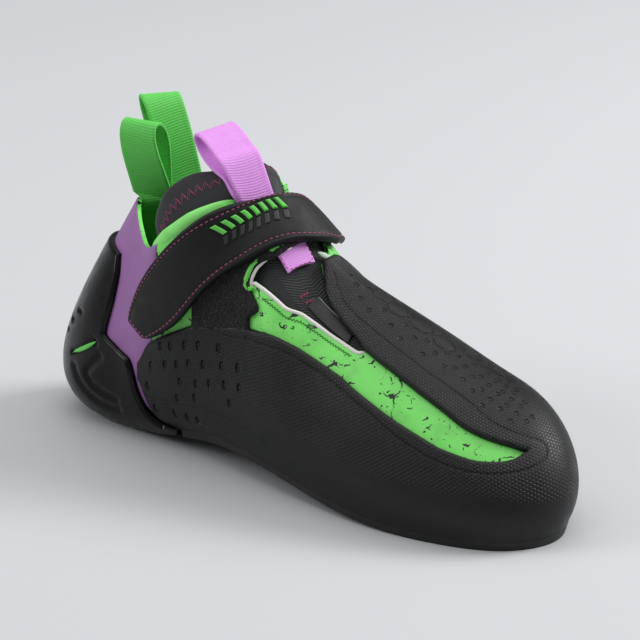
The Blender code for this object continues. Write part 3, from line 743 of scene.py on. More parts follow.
class Finish:
    """A Principled material and the nodes that feed it."""

    def __init__(self, name, colour, roughness, **sockets):
        self.material = bpy.data.materials.new(name)
        self.material.use_nodes = True
        self.tree = self.material.node_tree
        self.shader = self.tree.nodes["Principled BSDF"]
        self.set(Base_Color=(*colour, 1), Roughness=roughness, **sockets)
        self.colour = (*colour, 1)
        self.heights = []
        self.object_space = self.node("ShaderNodeTexCoord").outputs["Object"]
        self.uv = self.node("ShaderNodeUVMap", uv_map="UVMap").outputs["UV"]

    def set(self, **sockets):
        for key, value in sockets.items():
            self.feed(self.shader.inputs[key.replace("_", " ")], value)

    def feed(self, socket, value):
        """Link another node's output to a socket, or set its value."""
        if isinstance(value, bpy.types.NodeSocket):
            self.tree.links.new(value, socket)
        else:
            socket.default_value = value

    def node(self, kind, inputs=None, **settings):
        made = self.tree.nodes.new(kind)
        for key, value in settings.items():
            setattr(made, key, value)
        for key, value in (inputs or {}).items():
            self.feed(made.inputs[key], value)
        return made

    def math(self, operation, a, b=0.0, c=0.0):
        """One operation's result; c only counts where it takes three values."""
        return self.node("ShaderNodeMath", {0: a, 1: b, 2: c}, operation=operation).outputs[0]

    def step(self, value, low, high, out=(0.0, 1.0)):
        """Smooth step from low to high."""
        return self.node("ShaderNodeMapRange", {"Value": value, "From Min": low, "From Max": high, "To Min": out[0],
                                                "To Max": out[1]}, interpolation_type="SMOOTHSTEP").outputs[0]

    def noise(self, grain, detail=2.0, distortion=0.0, rough=0.5):
        """Noise with grains of that size in mm."""
        return self.node("ShaderNodeTexNoise", {"Vector": self.object_space, "Scale": 1000 / grain, "Detail": detail,
                                                "Roughness": rough, "Distortion": distortion}).outputs["Fac"]

    def warped(self, amount, scale):
        """Object coordinates pushed about by a coarse noise, in mm."""
        push = self.node("ShaderNodeTexNoise", {"Vector": self.object_space, "Scale": 1000 / scale}).outputs["Color"]
        half = self.node("ShaderNodeVectorMath", {0: push, 1: (0.5, 0.5, 0.5)}, operation="SUBTRACT").outputs[0]
        moved = self.node("ShaderNodeVectorMath", {0: half, "Scale": amount * MM * 2}, operation="SCALE").outputs[0]
        return self.node("ShaderNodeVectorMath", {0: self.object_space, 1: moved}, operation="ADD").outputs[0]

    def stripes(self, axis, pitch, phase=0.0):
        """A cosine along one of the piece's two lengths, from 0 to 1."""
        value = self.node("ShaderNodeSeparateXYZ", {0: self.uv}).outputs[axis]
        wave = self.math("COSINE", self.math("MULTIPLY_ADD", value, 2 * math.pi / pitch, phase))
        return self.math("MULTIPLY_ADD", wave, 0.5, 0.5)

    def honeycomb(self, pitch):
        """Rounded cells in a honeycomb, 1 in their middles and 0 along their borders."""
        total = None
        for turn in (0, 60, 120):
            a = math.radians(turn)
            reach = 2 * math.pi / (pitch * math.sqrt(3) / 2)
            along = self.node("ShaderNodeVectorMath", {0: self.uv, 1: (math.cos(a) * reach, math.sin(a) * reach, 0)},
                              operation="DOT_PRODUCT").outputs["Value"]
            wave = self.math("COSINE", along)
            total = wave if total is None else self.math("ADD", total, wave)
        return self.step(total, -1.5, 0.4)

    def attribute(self, name):
        return self.node("ShaderNodeAttribute", attribute_name=name).outputs["Fac"]

    def mix(self, factor, a, b):
        made = self.node("ShaderNodeMix", data_type="RGBA")
        for socket, value in ((made.inputs[0], factor), (made.inputs[6], a), (made.inputs[7], b)):
            self.feed(socket, value)
        return made.outputs[2]

    def paint(self, factor, colour):
        """Another colour over what is there."""
        self.colour = self.mix(factor, self.colour, (*colour, 1))

    def relief(self, height, depth):
        """Bump of a height from 0 to 1, its depth in mm."""
        self.heights.append((height, depth))

    def done(self):
        """The material, with its colour and its bumps linked."""
        if isinstance(self.colour, bpy.types.NodeSocket):
            self.set(Base_Color=self.colour)
        normal = None
        for height, depth in self.heights:
            made = self.node("ShaderNodeBump", {"Height": height, "Distance": depth * MM, "Strength": 1.0})
            if normal is not None:
                self.tree.links.new(normal, made.inputs["Normal"])
            normal = made.outputs[0]
        if normal is not None:
            self.tree.links.new(normal, self.shader.inputs["Normal"])
        return self.material


def grained(name, colour, roughness, grain=0.55, depth=0.05, spread=0.06, shade=0.85, **sockets):
    """A finish with a fine grain and a little change of colour and gloss."""
    f = Finish(name, colour, roughness, **sockets)
    f.relief(f.noise(grain, 3), depth)
    f.paint(f.step(f.noise(9, 3), 0.45, 0.75), tuple(c * shade for c in colour))
    f.set(Roughness=f.step(f.noise(5, 4), 0.3, 0.7, (roughness - spread, roughness + spread)))
    return f


def rubber_finish():
    """Rand rubber: fine hexagons, engraved lines and dimples, all from the mesh's own values in mm."""
    f = grained("rand_rubber", (0.0036, 0.0036, 0.0038), 0.42, grain=0.35, depth=0.015, Specular_IOR_Level=0.36)
    cells = f.math("MULTIPLY", f.honeycomb(1.35), f.attribute("texture"))
    f.relief(cells, 0.22)
    # Painted light: the hexagons' raised middles are painted lighter than their borders, as light on their tops and
    # shade in the grooves
    f.paint(f.math("MULTIPLY", cells, 0.5), (0.0100, 0.0100, 0.0104))
    line = f.step(f.math("ABSOLUTE", f.attribute("line")), 0.20, 0.45, (1.0, 0.0))
    f.relief(f.math("SUBTRACT", 1.0, line), 0.35)
    pit = f.step(f.attribute("pit"), 0.65, 1.20, (1.0, 0.0))
    f.relief(f.math("SUBTRACT", 1.0, pit), 0.90)
    # Painted shade: the engraved lines and the dimples are painted darker in their hollows
    f.paint(f.math("MULTIPLY", f.math("MAXIMUM", line, pit), 0.8), (0.0015, 0.0015, 0.0015))
    return f.done()


def leather_finish():
    """Green leather with a printed scatter of black cracks and specks."""
    green = (0.215, 0.820, 0.150)
    f = grained("green_leather", green, 0.45, grain=0.45, depth=0.03, shade=0.86)
    bent = f.warped(4, 5)
    crack = f.node("ShaderNodeTexVoronoi", {"Vector": bent, "Scale": 1000 / 15.0}, feature="DISTANCE_TO_EDGE")
    thick = f.step(f.noise(6, 2), 0.42, 0.66, (0.0, 0.034))
    lines = f.step(f.math("SUBTRACT", crack.outputs["Distance"], thick), -0.003, 0.003, (1.0, 0.0))
    lines = f.math("MULTIPLY", lines, f.step(f.noise(15, 1), 0.43, 0.46))
    chips = f.step(f.noise(2.1, 1.5, distortion=0.7), 0.655, 0.67)
    dust = f.step(f.noise(0.8, 1), 0.735, 0.75)
    where = f.step(f.noise(11, 1), 0.42, 0.50)
    specks = f.math("MULTIPLY", f.math("MAXIMUM", chips, dust), where)
    ink = f.math("MAXIMUM", lines, specks)
    f.paint(ink, (0.012, 0.016, 0.012))
    f.relief(f.math("SUBTRACT", 1.0, ink), 0.02)
    return f.done()


def webbing_finish(name, colour, dark):
    """Woven tape: fine ribs across it, offset from column to column."""
    f = Finish(name, colour, 0.62, Sheen_Weight=0.35, Sheen_Roughness=0.4, Sheen_Tint=(*colour, 1))
    rib = f.stripes(0, 1.05)
    thread = f.stripes(1, 0.55)
    f.relief(rib, 0.09)
    f.relief(thread, 0.04)
    f.relief(f.noise(0.35, 2), 0.04)
    # Painted shade: the troughs between the ribs are painted towards the darker colour
    f.paint(f.math("MULTIPLY", f.math("SUBTRACT", 1.0, rib), 0.40), dark)
    f.paint(f.math("MULTIPLY", f.step(f.noise(6, 3), 0.4, 0.8), 0.35), tuple(c * 0.75 for c in colour))
    return f.done()


def fleece_finish():
    """Short black pile with paler tips."""
    f = Finish("tab_fleece", (0.003, 0.003, 0.003), 0.95, Sheen_Weight=0.10, Sheen_Roughness=0.5,
               Sheen_Tint=(0.5, 0.5, 0.5, 1))
    f.relief(f.noise(1.1, 4, rough=0.75), 1.0)
    f.relief(f.noise(0.3, 2), 0.25)
    f.paint(f.math("MULTIPLY", f.step(f.noise(0.7, 3, rough=0.75), 0.52, 0.66), 0.7), (0.055, 0.055, 0.058))
    return f.done()


def knit_finish():
    """The tongue: ribbed elastic knit below, smooth padded jersey above."""
    f = Finish("tongue_knit", (0.017, 0.017, 0.020), 0.80, Sheen_Weight=0.15, Sheen_Roughness=0.4)
    ribbed = f.attribute("ribbed")
    rib = f.math("MULTIPLY", f.stripes(0, 1.35), ribbed)
    f.relief(rib, 0.35)
    f.relief(f.math("MULTIPLY", f.stripes(1, 0.6), ribbed), 0.08)
    f.relief(f.noise(0.4, 3), 0.05)
    # Painted highlight: the rib crests are painted lighter
    f.paint(f.math("MULTIPLY", rib, 0.40), (0.070, 0.070, 0.070))
    return f.done()


def plain(name, colour, roughness, depth=0.03, grain=0.4, **sockets):
    """The material of a grained finish with nothing else on it."""
    return grained(name, colour, roughness, grain=grain, depth=depth, **sockets).done()


LEATHER = leather_finish()
RUBBER_FINISH = rubber_finish()
HEEL_FINISH = plain("black_rubber", (0.0014, 0.0014, 0.0016), 0.28, depth=0.02, Specular_IOR_Level=0.22)
SOLE_FINISH = plain("sole_rubber", (0.0045, 0.0045, 0.0048), 0.50, depth=0.02)
# The third colour of a webbing finish is the painted shade in the troughs between its ribs
LINING = webbing_finish("lining", (0.100, 0.600, 0.075), (0.035, 0.30, 0.028))
PURPLE = plain("purple_leather", (0.310, 0.138, 0.360), 0.55, depth=0.02, spread=0.04, shade=0.92)
STRAP_FINISH = plain("strap_synthetic", (0.0050, 0.0050, 0.0052), 0.60, depth=0.03, grain=0.5, Specular_IOR_Level=0.35)
FLEECE = fleece_finish()
KNIT = knit_finish()
# Their third colours are the painted shade between the ribs
GREEN_WEB = webbing_finish("green_webbing", (0.120, 0.640, 0.095), (0.035, 0.30, 0.028))
PURPLE_WEB = webbing_finish("purple_webbing", (0.800, 0.340, 0.850), (0.54, 0.18, 0.60))
LIP = plain("collar_lip", (0.260, 0.820, 0.190), 0.65, depth=0.04)
WHITE = plain("white_binding", (0.78, 0.76, 0.70), 0.65, depth=0.05)
PINK_THREAD = plain("pink_thread", (0.40, 0.07, 0.17), 0.6)
PADDING_THREAD = plain("padding_thread", (0.20, 0.045, 0.10), 0.6)
MINT = plain("mint_scrap", (0.50, 0.66, 0.50), 0.7)
GREEN_THREAD = plain("green_thread", (0.03, 0.25, 0.025), 0.6)
BAR_GREEN = plain("bar_green", (0.13, 0.60, 0.085), 0.40, depth=0.01)
BAR_GREY = plain("bar_grey", (0.022, 0.023, 0.025), 0.55, depth=0.01)
LABEL = plain("label_satin", (0.008, 0.008, 0.009), 0.45, depth=0.01)
LABEL_EDGE = plain("label_edge", (0.20, 0.21, 0.22), 0.5, depth=0.01)
BOARD_FINISH = plain("insole_fibre", (0.30, 0.26, 0.20), 0.9, depth=0.08, grain=0.9)


# The leather upper

def surface_uv(q, h):
    """Lengths in mm round the last and up it, for patterns that run on over its bands."""
    ring = np.linspace(-0.5 * AROUND, 1.5 * AROUND, 801)
    u = np.interp(q, ring, run_of(skin(ring, 0.45)))
    up = skin(np.linspace(-TOE, TOE, 221)[:, None], np.linspace(0, 1, 41)[None])
    rise = lengths(up)[1]
    i = np.clip((q + TOE) / (2 * TOE) * 220, 0, 219.999)
    j = np.clip(h * 40, 0, 39.999)
    i0, j0 = i.astype(int), j.astype(int)
    s, t = i - i0, j - j0
    v = ((rise[i0, j0] * (1 - s) + rise[i0 + 1, j0] * s) * (1 - t)
         + (rise[i0, j0 + 1] * (1 - s) + rise[i0 + 1, j0 + 1] * s) * t)
    return np.stack([u, v], -1) / MM


def bands(k, low_columns, high_columns, over_columns):
    """Stations and heights of the medial, lateral and over-ridge bands, as (q, h) grids turned the same way out."""
    cup, medial, lateral, near, far = PANELS(k).T
    near = np.where(k >= THROAT_TIP - 1e-6, far, near)
    medial = np.where(k >= LEAF_TIP - 1e-6, np.minimum(medial, far), medial)

    def band(low, high, columns, side=1):
        h = low[:, None] + (high - low)[:, None] * columns[None]
        q = np.broadcast_to(side * k[:, None], h.shape)
        return (q, h) if side == 1 else (q[::-1], h[::-1])

    one = 0 * k + 1
    return {
        "medial_low": band(cup, medial, low_columns), "medial_high": band(medial, near, high_columns),
        "lateral_low": band(cup, lateral, low_columns, -1),
        "lateral_high": band(lateral, LATERAL_TOP(k)[:, 0], high_columns, -1), "over": band(far, one, over_columns),
    }


# How far the leather keeps back under the toe patch along the throat
UNDER_PATCH = 0.10


def upper_piece():
    """The leather outside with its lining inside."""
    k = np.linspace(0, TOE, 221)
    parts = bands(k, np.linspace(0, 1, 13), packed(30, 1.2, 1.1), packed(25, 1.2, 1.4))
    sheets = []
    for name, (q, h) in parts.items():
        if name in ("medial_low", "lateral_low"):
            # the leather runs down to the feather line, behind the rubber and the heel cup
            top = h[:, -1:]
            h = top * np.linspace(0, 1, 25)[None]
            q = np.broadcast_to(q[:, :1], h.shape)
        if name == "over":
            keep = np.abs(q[:, 0]) >= PATCH_BACK - 1e-6
            q, h = q[keep], h[keep]
            h = 1 - (1 - h) * (1 - UNDER_PATCH * np.clip((THROAT_TIP - q) / 0.3, 0, 1))
        sheets.append((skin(q, h, UPPER[1]), skin(q, h, UPPER[0]), surface_uv(q, h)))
    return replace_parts(solid("upper_leather", sheets, [LEATHER, LINING]), "upper")


upper_piece()


def quarter():
    """The purple heel quarter, one panel round the heel."""
    q, t = np.linspace(-3.0, 3.0, 150), packed(50, 1.0, 0.9)
    low = curve(((-3.0, 0.08), (-2.0, 0.12), (0.0, 0.50), (2.0, 0.12), (3.0, 0.08)))

    def point(a, b, lift):
        h = low(a)[..., 0] * (1 - b) + 0.999 * b
        return skin(a, h, lift)

    return slab("heel_quarter", point, q, t, (UPPER[1] + 0.03 * MM, UPPER[1] + 0.62 * MM), 0.7 * MM, [PURPLE])


quarter()


# The collar's padding: half its width and height, and how far it lies inside and above the leather's edge
LIP_HALVES = (3.6 * MM, 2.4 * MM)
LIP_INSIDE, LIP_ABOVE = 1.4 * MM, 1.2 * MM


def collar_lips():
    """The padded edge of the collar, light green, in front of the quarter on both sides."""
    for side, name, ends in ((1, "medial", (2.55, 4.35)), (-1, "lateral", (2.55, 4.1))):
        q = side * np.linspace(*ends, 90)
        inward = unit(skin(q, 0.99, 0.0) - skin(q, 0.99, 1.0 * MM))
        up = unit(skin(q, 1.0, 0.0) - skin(q, 0.94, 0.0))
        path = skin(q, 0.99, 0.9 * MM) + inward * LIP_INSIDE + up * LIP_ABOVE
        lip = tube("collar_lip_" + name, path, -inward, *LIP_HALVES, LIP, sides=20, taper=0.35)


collar_lips()


# The rubber rand with the toe patch

# The line engraved round the toe patch and back over the medial rand; its first rows run along the patch
ENGRAVED = (
    # station, height on the profile
    (6.23, 0.910), (6.63, 0.815), (7.23, 0.765), (8.07, 0.725), (8.97, 0.700), (9.47, 0.635), (10.23, 0.585),
    (10.57, 0.550), (10.57, 0.485), (10.27, 0.430), (9.57, 0.375), (8.90, 0.350), (8.27, 0.355), (7.67, 0.390),
    (7.13, 0.445), (6.47, 0.485), (5.80, 0.465), (5.20, 0.430), (4.60, 0.440), (4.00, 0.545), (3.40, 0.585),
)
PATCH_ROWS = 7
BAND_SEAM = ((2.77, 0.307), (3.13, 0.262), (3.70, 0.196), (4.87, 0.108), (5.6, 0.075))
# The row of hexagons on the toe patch: station, height, radius in mm
HEXAGONS = ((7.08, 0.985, 4.6), (7.44, 0.955, 4.7), (7.88, 0.955, 5.0), (8.36, 0.945, 5.0))
# The dimples on the medial rand
DIMPLES = (
    # station, height on the profile
    (3.30, 0.533), (3.50, 0.516), (3.77, 0.492), (4.03, 0.461), (4.43, 0.410), (3.07, 0.452), (3.37, 0.439),
    (3.60, 0.421), (3.83, 0.405), (4.10, 0.375), (4.47, 0.344), (4.80, 0.332), (2.95, 0.350), (3.63, 0.335),
    (3.93, 0.304), (4.20, 0.289), (4.50, 0.274), (4.80, 0.265), (3.53, 0.251), (3.87, 0.237), (4.57, 0.203),
    (3.03, 0.206), (3.40, 0.159), (3.63, 0.125), (3.83, 0.103),
)


def carved_lines(points):
    """The smallest signed distance, in mm, from any line engraved in the rubber."""
    best = np.full(points.shape[:-1], 9.0)
    lines = [raised(skin, *drawn(table), RUBBER[1]) for table in (ENGRAVED, BAND_SEAM)]
    for path, normals in lines + hexagon_paths():
        d = line_distance(points, path, normals) / MM
        best = np.where(np.abs(d) < np.abs(best), d, best)
    return best


def patch_frame(k, w):
    """A point of the toe patch with its two directions along and across, and its normal."""
    p = cover(k, w, RUBBER[1])
    along = unit(cover(k + 0.02, w, RUBBER[1]) - p)
    n = unit(p - cover(k, w, 0.0))
    return p, along, unit(np.cross(n, along)), n


def hexagon_paths():
    """The hexagons' outlines with their normals, stretched along the patch."""
    made = []
    for k, h, radius in HEXAGONS:
        p, along, across, n = patch_frame(k, h - 1)
        angle = np.radians(np.arange(0, 361, 60) + 12)
        ring = p + radius * MM * (np.cos(angle)[:, None] * along * 1.1 + np.sin(angle)[:, None] * across * 0.82)
        path = evenly(ring, 0.4 * MM)
        made.append((path, np.broadcast_to(n, path.shape)))
    return made


# The patch's dimples stand in rows: first station, end and step, the ends across, and how many stand in two rows.
# They keep clear of the engraved line, as a share across the cover, and of the hexagons.
DIMPLE_STATIONS = (6.45, 10.7, 0.205)
DIMPLE_ENDS, DIMPLE_COUNT = (-0.38, 0.42), 19
CLEAR_OF_LINE, CLEAR_OF_HEXAGON = 0.045, 5.2 * MM


def patch_dimples():
    """The middles of the toe patch's round dimples, every other row moved by half a step."""
    line = np.array(ENGRAVED[:PATCH_ROWS])
    hexagons = [patch_frame(k, h - 1)[0] for k, h, _ in HEXAGONS]
    spots = []
    for i, k in enumerate(np.arange(*DIMPLE_STATIONS)):
        least = np.interp(k, *line.T) - 1 + CLEAR_OF_LINE
        for w in np.linspace(*DIMPLE_ENDS, DIMPLE_COUNT)[i % 2::2] + 0.008 * math.sin(2.1 * i):
            p = cover(k, w, RUBBER[1])
            if w >= least and all(np.linalg.norm(p - q) >= CLEAR_OF_HEXAGON for q in hexagons):
                spots.append(p)
    return np.array(spots)


def rubber_edges():
    """Points along the rubber's free edges."""
    k = np.linspace(RAND_BACK, TOE, 900)
    cup, medial, lateral, near, far = PANELS(k).T
    leaf, patch = k <= LEAF_TIP, k >= PATCH_BACK
    rear = np.linspace(0, 1, 60)
    first = PANELS(np.array([RAND_BACK]))[0]
    at = [
        (k[leaf], medial[leaf]), (k[leaf & patch], far[leaf & patch]), (-k[~patch], lateral[~patch]),
        (RAND_BACK + 0 * rear, first[0] + (first[1] - first[0]) * rear),
        (-RAND_BACK + 0 * rear, first[0] + (first[2] - first[0]) * rear),
        (PATCH_BACK + 0 * rear, 0.92 + 0.08 * rear), (-PATCH_BACK + 0 * rear, 0.56 + 0.44 * rear),
    ]
    rising = cup > 0.005
    at += [(k[rising], cup[rising]), (-k[rising], cup[rising])]
    return np.concatenate([skin(q, h, RUBBER[1]) for q, h in at])


RAND_ROWS = 320
LINE_DEPTH, LINE_WIDTH = 0.18 * MM, 0.45
DIMPLE_DEPTH, DIMPLE_HALVES = 0.45 * MM, (1.9, 0.95)
# How far up the profile the rand bends in to the sole's edge
FOOT_SHARE = 0.07


def rand_piece():
    """The rubber, thinner at its free edges, with its engraved lines and dimples."""
    k = np.sort(np.concatenate([np.linspace(RAND_BACK, TOE, RAND_ROWS), np.array((0.004, 0.012, 0.03)) + RAND_BACK,
                                np.array((0.0, 0.005, 0.014, 0.03)) + PATCH_BACK]))
    parts = bands(k, packed(48, 1.2, 0.62), packed(34, 1.2, 0.62), packed(24, 1.2, 0.60))
    starts = {"medial_high": LEAF_TIP, "over": PATCH_BACK, "lateral_high": PATCH_BACK}
    edges, spots = rubber_edges(), patch_dimples()
    ovals = [(skin(a, b, RUBBER[1]), skin(a, b + 0.03, RUBBER[1])) for a, b in DIMPLES]
    sheets, line, texture, pits = [], [], [], []
    for name, (q, h) in parts.items():
        keep = np.abs(q[:, 0]) >= starts.get(name, 0) - 1e-6
        q, h = q[keep], h[keep]
        flat = skin(q, h, RUBBER[1])
        lift = UPPER[1] + (RUBBER[1] - UPPER[1]) * (0.35 + 0.65 * rounded(nearest(flat, edges)[1], 1.3 * MM))
        d = carved_lines(flat)
        lift = lift - LINE_DEPTH * np.exp(-((d / LINE_WIDTH) ** 2))
        pit = nearest(flat, spots)[1] / MM
        for p, above in ovals:
            away = oval_distance(flat, p, unit(above - p), *DIMPLE_HALVES)
            lift = lift - DIMPLE_DEPTH * np.exp(-(away**4))
            pit = np.minimum(pit, away)
        outer, inner = skin(q, h, lift), skin(q, h, UPPER[1] + 0.05 * MM)
        base = foot_point(q)[..., 2] - SOLE_DROP + 0.02 * MM
        outer[..., 2], inner[..., 2] = np.maximum(outer[..., 2], base), np.maximum(inner[..., 2], base)
        if name.endswith("low"):
            seat = foot_point(q) + outward(q) * RUBBER[1]
            seat[..., 2] = base
            share = np.clip(1 - h / FOOT_SHARE, 0, 1)[..., None] ** 2
            outer = outer * (1 - share) + seat * share
        sheets.append((outer, inner, surface_uv(q, h)))
        line.append(d)
        texture.append(np.clip((h - 0.16) / 0.16, 0, 1) * np.clip((0.97 - h) / 0.06, 0, 1))
        pits.append(np.minimum(pit, 4))
    values = {"line": line, "texture": texture, "pit": pits}
    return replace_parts(solid("rand_rubber", sheets, [RUBBER_FINISH], values, back=False), "rand")


rand_piece()


# The heel cup

HEEL_SLIT = ((0.95, 0.432), (1.15, 0.478), (1.36, 0.530))
HEEL_GROOVES = (
    # a run of station and height, then width and depth in mm
    (((1.57, 0.475), (1.45, 0.430), (1.35, 0.373), (1.50, 0.325), (1.77, 0.296), (2.12, 0.267)), 1.5, 1.0),
    (((1.05, 0.370), (1.18, 0.315), (1.40, 0.263), (1.70, 0.222), (2.12, 0.205)), 1.7, 1.1),
    (HEEL_SLIT, 1.0, 1.5),
)
NOTCH_DEPTH, NOTCH_HALVES = 1.1 * MM, (3.4, 0.9)
HEEL_NOTCHES = ((0.78, 0.600), (0.66, 0.545), (0.60, 0.492))


def heel_piece():
    """The heel cup with its grooves and notches: a sheet for each side and one under the heel between them."""
    heights = np.concatenate([np.linspace(0, 0.20, 32), np.linspace(0.20, 0.82, 84)[1:],
                              0.82 + 0.04 * packed(3, 1.0, 0.5)[1:]])
    share = np.concatenate([np.linspace(0, 0.94, 92), 0.94 + 0.06 * packed(4, 1.0, 0.5)[1:]])
    edge = HEEL_CUP_EDGE(heights)[:, 0]
    q = share[:, None] * edge[None]
    h = np.broadcast_to(heights, q.shape)
    thick = HEEL_RUBBER[1] + (HEEL_SOLE - HEEL_RUBBER[1]) * (1 - h) ** 5
    sheets, feet = [], []
    for side in (1, -1):
        flat = skin(side * q, h, thick)
        _, gap = nearest(flat, evenly(flat[-1], 0.3 * MM))
        _, gap_top = nearest(flat, evenly(flat[:, -1], 0.3 * MM))
        gap = np.where(h > 0.06, np.minimum(gap, gap_top), 9)
        lift = UPPER[1] + (thick - UPPER[1]) * (0.45 + 0.55 * rounded(gap, 1.6 * MM))
        for table, width, depth in HEEL_GROOVES:
            a, b = drawn(table)
            _, away = nearest(flat, skin(side * a, b, HEEL_RUBBER[1]))
            lift = lift - depth * MM * np.exp(-((away / MM / width) ** 2))
        for a, b in HEEL_NOTCHES:
            p = skin(side * a, b, HEEL_RUBBER[1])
            along = unit(skin(side * (a + 0.2), b, HEEL_RUBBER[1]) - p)
            lift = lift - NOTCH_DEPTH * np.exp(-(oval_distance(flat, p, along, *NOTCH_HALVES) ** 4))
        outer = skin(side * q, h, np.maximum(lift, UPPER[1] + 0.2 * MM))
        inner = skin(side * q, h, HEEL_RUBBER[0] * 0.8)
        seat = foot_point(side * q[:, 0])[:, 2] - SOLE_DROP
        inner[:, 0, 2] = np.minimum(inner[:, 0, 2], seat)
        outer[..., 2] = np.maximum(outer[..., 2], 0)
        sheet = (outer, inner, uv_of(flat))
        sheets.append(sheet if side == 1 else tuple(x[::-1] for x in sheet))
        feet.append((outer[:, 0], inner[:, 0]))
    t = np.linspace(0, 1, 14)[None, :, None]
    base = [b[:, None] * (1 - t) + a[:, None] * t for a, b in zip(*feet)]
    sheets.append((base[0], base[1], base[0][..., :2] / MM))
    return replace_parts(solid("heel_rubber", sheets, [HEEL_FINISH]), "heel_cup")


heel_piece()


# The sole

def plate_piece(name, stations, offset, drops, material, bevel, node):
    """A plate inside or outside the feather line, from its upper to its lower level."""
    across = np.linspace(0, 1, 25)[None, :, None]
    layers = []
    for drop, inset in zip(drops, (0.0, bevel)):
        ends = []
        for q in (-stations, stations):
            edge = foot_point(q) + outward(q) * (offset - inset)
            edge[:, 2] = np.maximum(edge[:, 2] - drop, 0)
            ends.append(edge[:, None])
        layers.append(ends[0] * (1 - across) + ends[1] * across)
    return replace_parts(solid(name, [(*layers, uv_of(layers[0]))], [material]), node)


plate_piece("sole_plate", np.concatenate([[SOLE_BACK], np.linspace(3.45, TOE, 150)]), RUBBER[1] - 0.05 * MM,
            (SOLE_DROP, SOLE_DROP + SOLE_THICKNESS), SOLE_FINISH, BEVEL, "outsole")
plate_piece("insole", np.linspace(0, TOE, 120), -BOARD_INSET, BOARD, BOARD_FINISH, 0.0, "insole_board")


# The tongue

# The free edge's medial end stands this much further forward than the solid's, clear of the collar's lip
TONGUE_CORNER = 6 * MM
PADDED_EDGE = 7 * MM


def tongue_surface(columns, lower, free):
    """The tongue's middle surface, and how far each row lies along it: below 0 where it stands free."""
    share = np.linspace(-1, 1, columns + 1)
    middle = (TONGUE[0] + TONGUE[1]) / 2

    def inside(k):
        medial, lateral = TONGUE_SIDES(k)
        return cover(k, (medial + lateral) / 2 + share * (lateral - medial) / 2, middle)

    start = inside(TONGUE_FREE)
    back = unit(start - inside(TONGUE_FREE + 0.1))
    edge = TONGUE_EDGE(share) * (LENGTH, HEEL_WIDTH, INSTEP_HEIGHT)
    edge[:, 0] += TONGUE_CORNER * np.clip((-0.55 - share) / 0.3, 0, 1)
    reach = np.linalg.norm(edge - start, axis=1)[:, None]
    bend = start + back * 0.4 * reach
    grid, place = [], []
    for t in np.linspace(1, 0, free + 1)[:-1]:
        grid.append((1 - t) ** 2 * start + 2 * t * (1 - t) * bend + t * t * edge)
        place.append(-t)
    for k in np.linspace(TONGUE_FREE, TONGUE_START, lower + 1):
        grid.append(inside(k))
        place.append(k - TONGUE_FREE)
    return np.array(grid), np.array(place), share


def tongue_piece():
    """The tongue, padded where it stands free, with its outer surface and normals for the seams."""
    grid, place, share = tongue_surface(80, 90, 56)
    normal = unit(np.cross(np.gradient(grid, axis=0), np.gradient(grid, axis=1)))
    down, across = lengths(grid)
    edge = np.minimum(down, np.minimum(across, across[:, -1:] - across))
    half = (TONGUE[1] - TONGUE[0]) / 2
    padded = np.clip(-place / 0.25 + 0.2, 0, 1)[:, None]
    swell = 1 + 0.55 * padded * rounded(edge, PADDED_EDGE)
    thick = half * (0.35 + 0.65 * rounded(edge, 2.0 * MM)) * swell
    outer, inner = grid + normal * thick[..., None], grid - normal * thick[..., None]
    ribbed = np.clip((place[:, None] - 0.35) / 0.1, 0, 1) * np.clip((share[None] + 0.45) / 0.05, 0, 1)
    knit = solid("tongue_knit", [(outer, inner, uv_of(grid))], [KNIT], {"ribbed": [ribbed]})
    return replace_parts(knit, "tongue"), outer, normal


tongue_obj, tongue_top, tongue_normal = tongue_piece()


SEAM_COLUMNS, SEAM_HALF, SEAM_PITCH = (4, 77), 1.7 * MM, 3.4 * MM


def tongue_seam(name, below):
    """A zigzag seam along the padding, a distance below its free edge."""
    down, _ = lengths(tongue_top)
    path, normals = [], []
    for c in range(*SEAM_COLUMNS):
        row = int(np.searchsorted(down[:, c], below))
        path.append(tongue_top[row, c] + tongue_normal[row, c] * 0.05 * MM)
        normals.append(tongue_normal[row, c])
    path = evenly(np.array(path), 0.4 * MM)
    normals = resampled(normals, len(path))
    stitches(name, *zigzag(path, unit(normals), SEAM_HALF, SEAM_PITCH), 0.17 * MM, PADDING_THREAD)


tongue_seam("tongue_seam_a", 8.5 * MM)
tongue_seam("tongue_seam_b", 9.4 * MM)


# Its corners, as stations and shares across the cover
LABEL_CORNERS = ((6.02, -0.310), (6.17, -0.220), (6.93, -0.255), (6.80, -0.335))


def label():
    """A plain woven label on the knit beside the throat's binding, with a light line along it."""
    def point(a, b, lift):
        weights = ((1 - a) * (1 - b), (1 - a) * b, a * b, a * (1 - b))
        k, w = (sum(weight * corner[i] for weight, corner in zip(weights, LABEL_CORNERS)) for i in (0, 1))
        return cover(k, w, lift)

    slab("label", point, packed(19, 0.5, 0.8), packed(5, 0.4, 0.6), (-0.75 * MM, -0.1 * MM), 0.3 * MM, [LABEL])
    line = raised(point, np.linspace(0.03, 0.97, 40), np.full(40, 0.93), -0.08 * MM, -1 * MM)
    tube("label_line", *line, 0.25 * MM, 0.12 * MM, LABEL_EDGE, sides=8)


label()


# The closure

# The tab's pile runs on under the rand, down to this share across the cover
TAB_FOOT = -0.595
PILE = 0.13 * MM


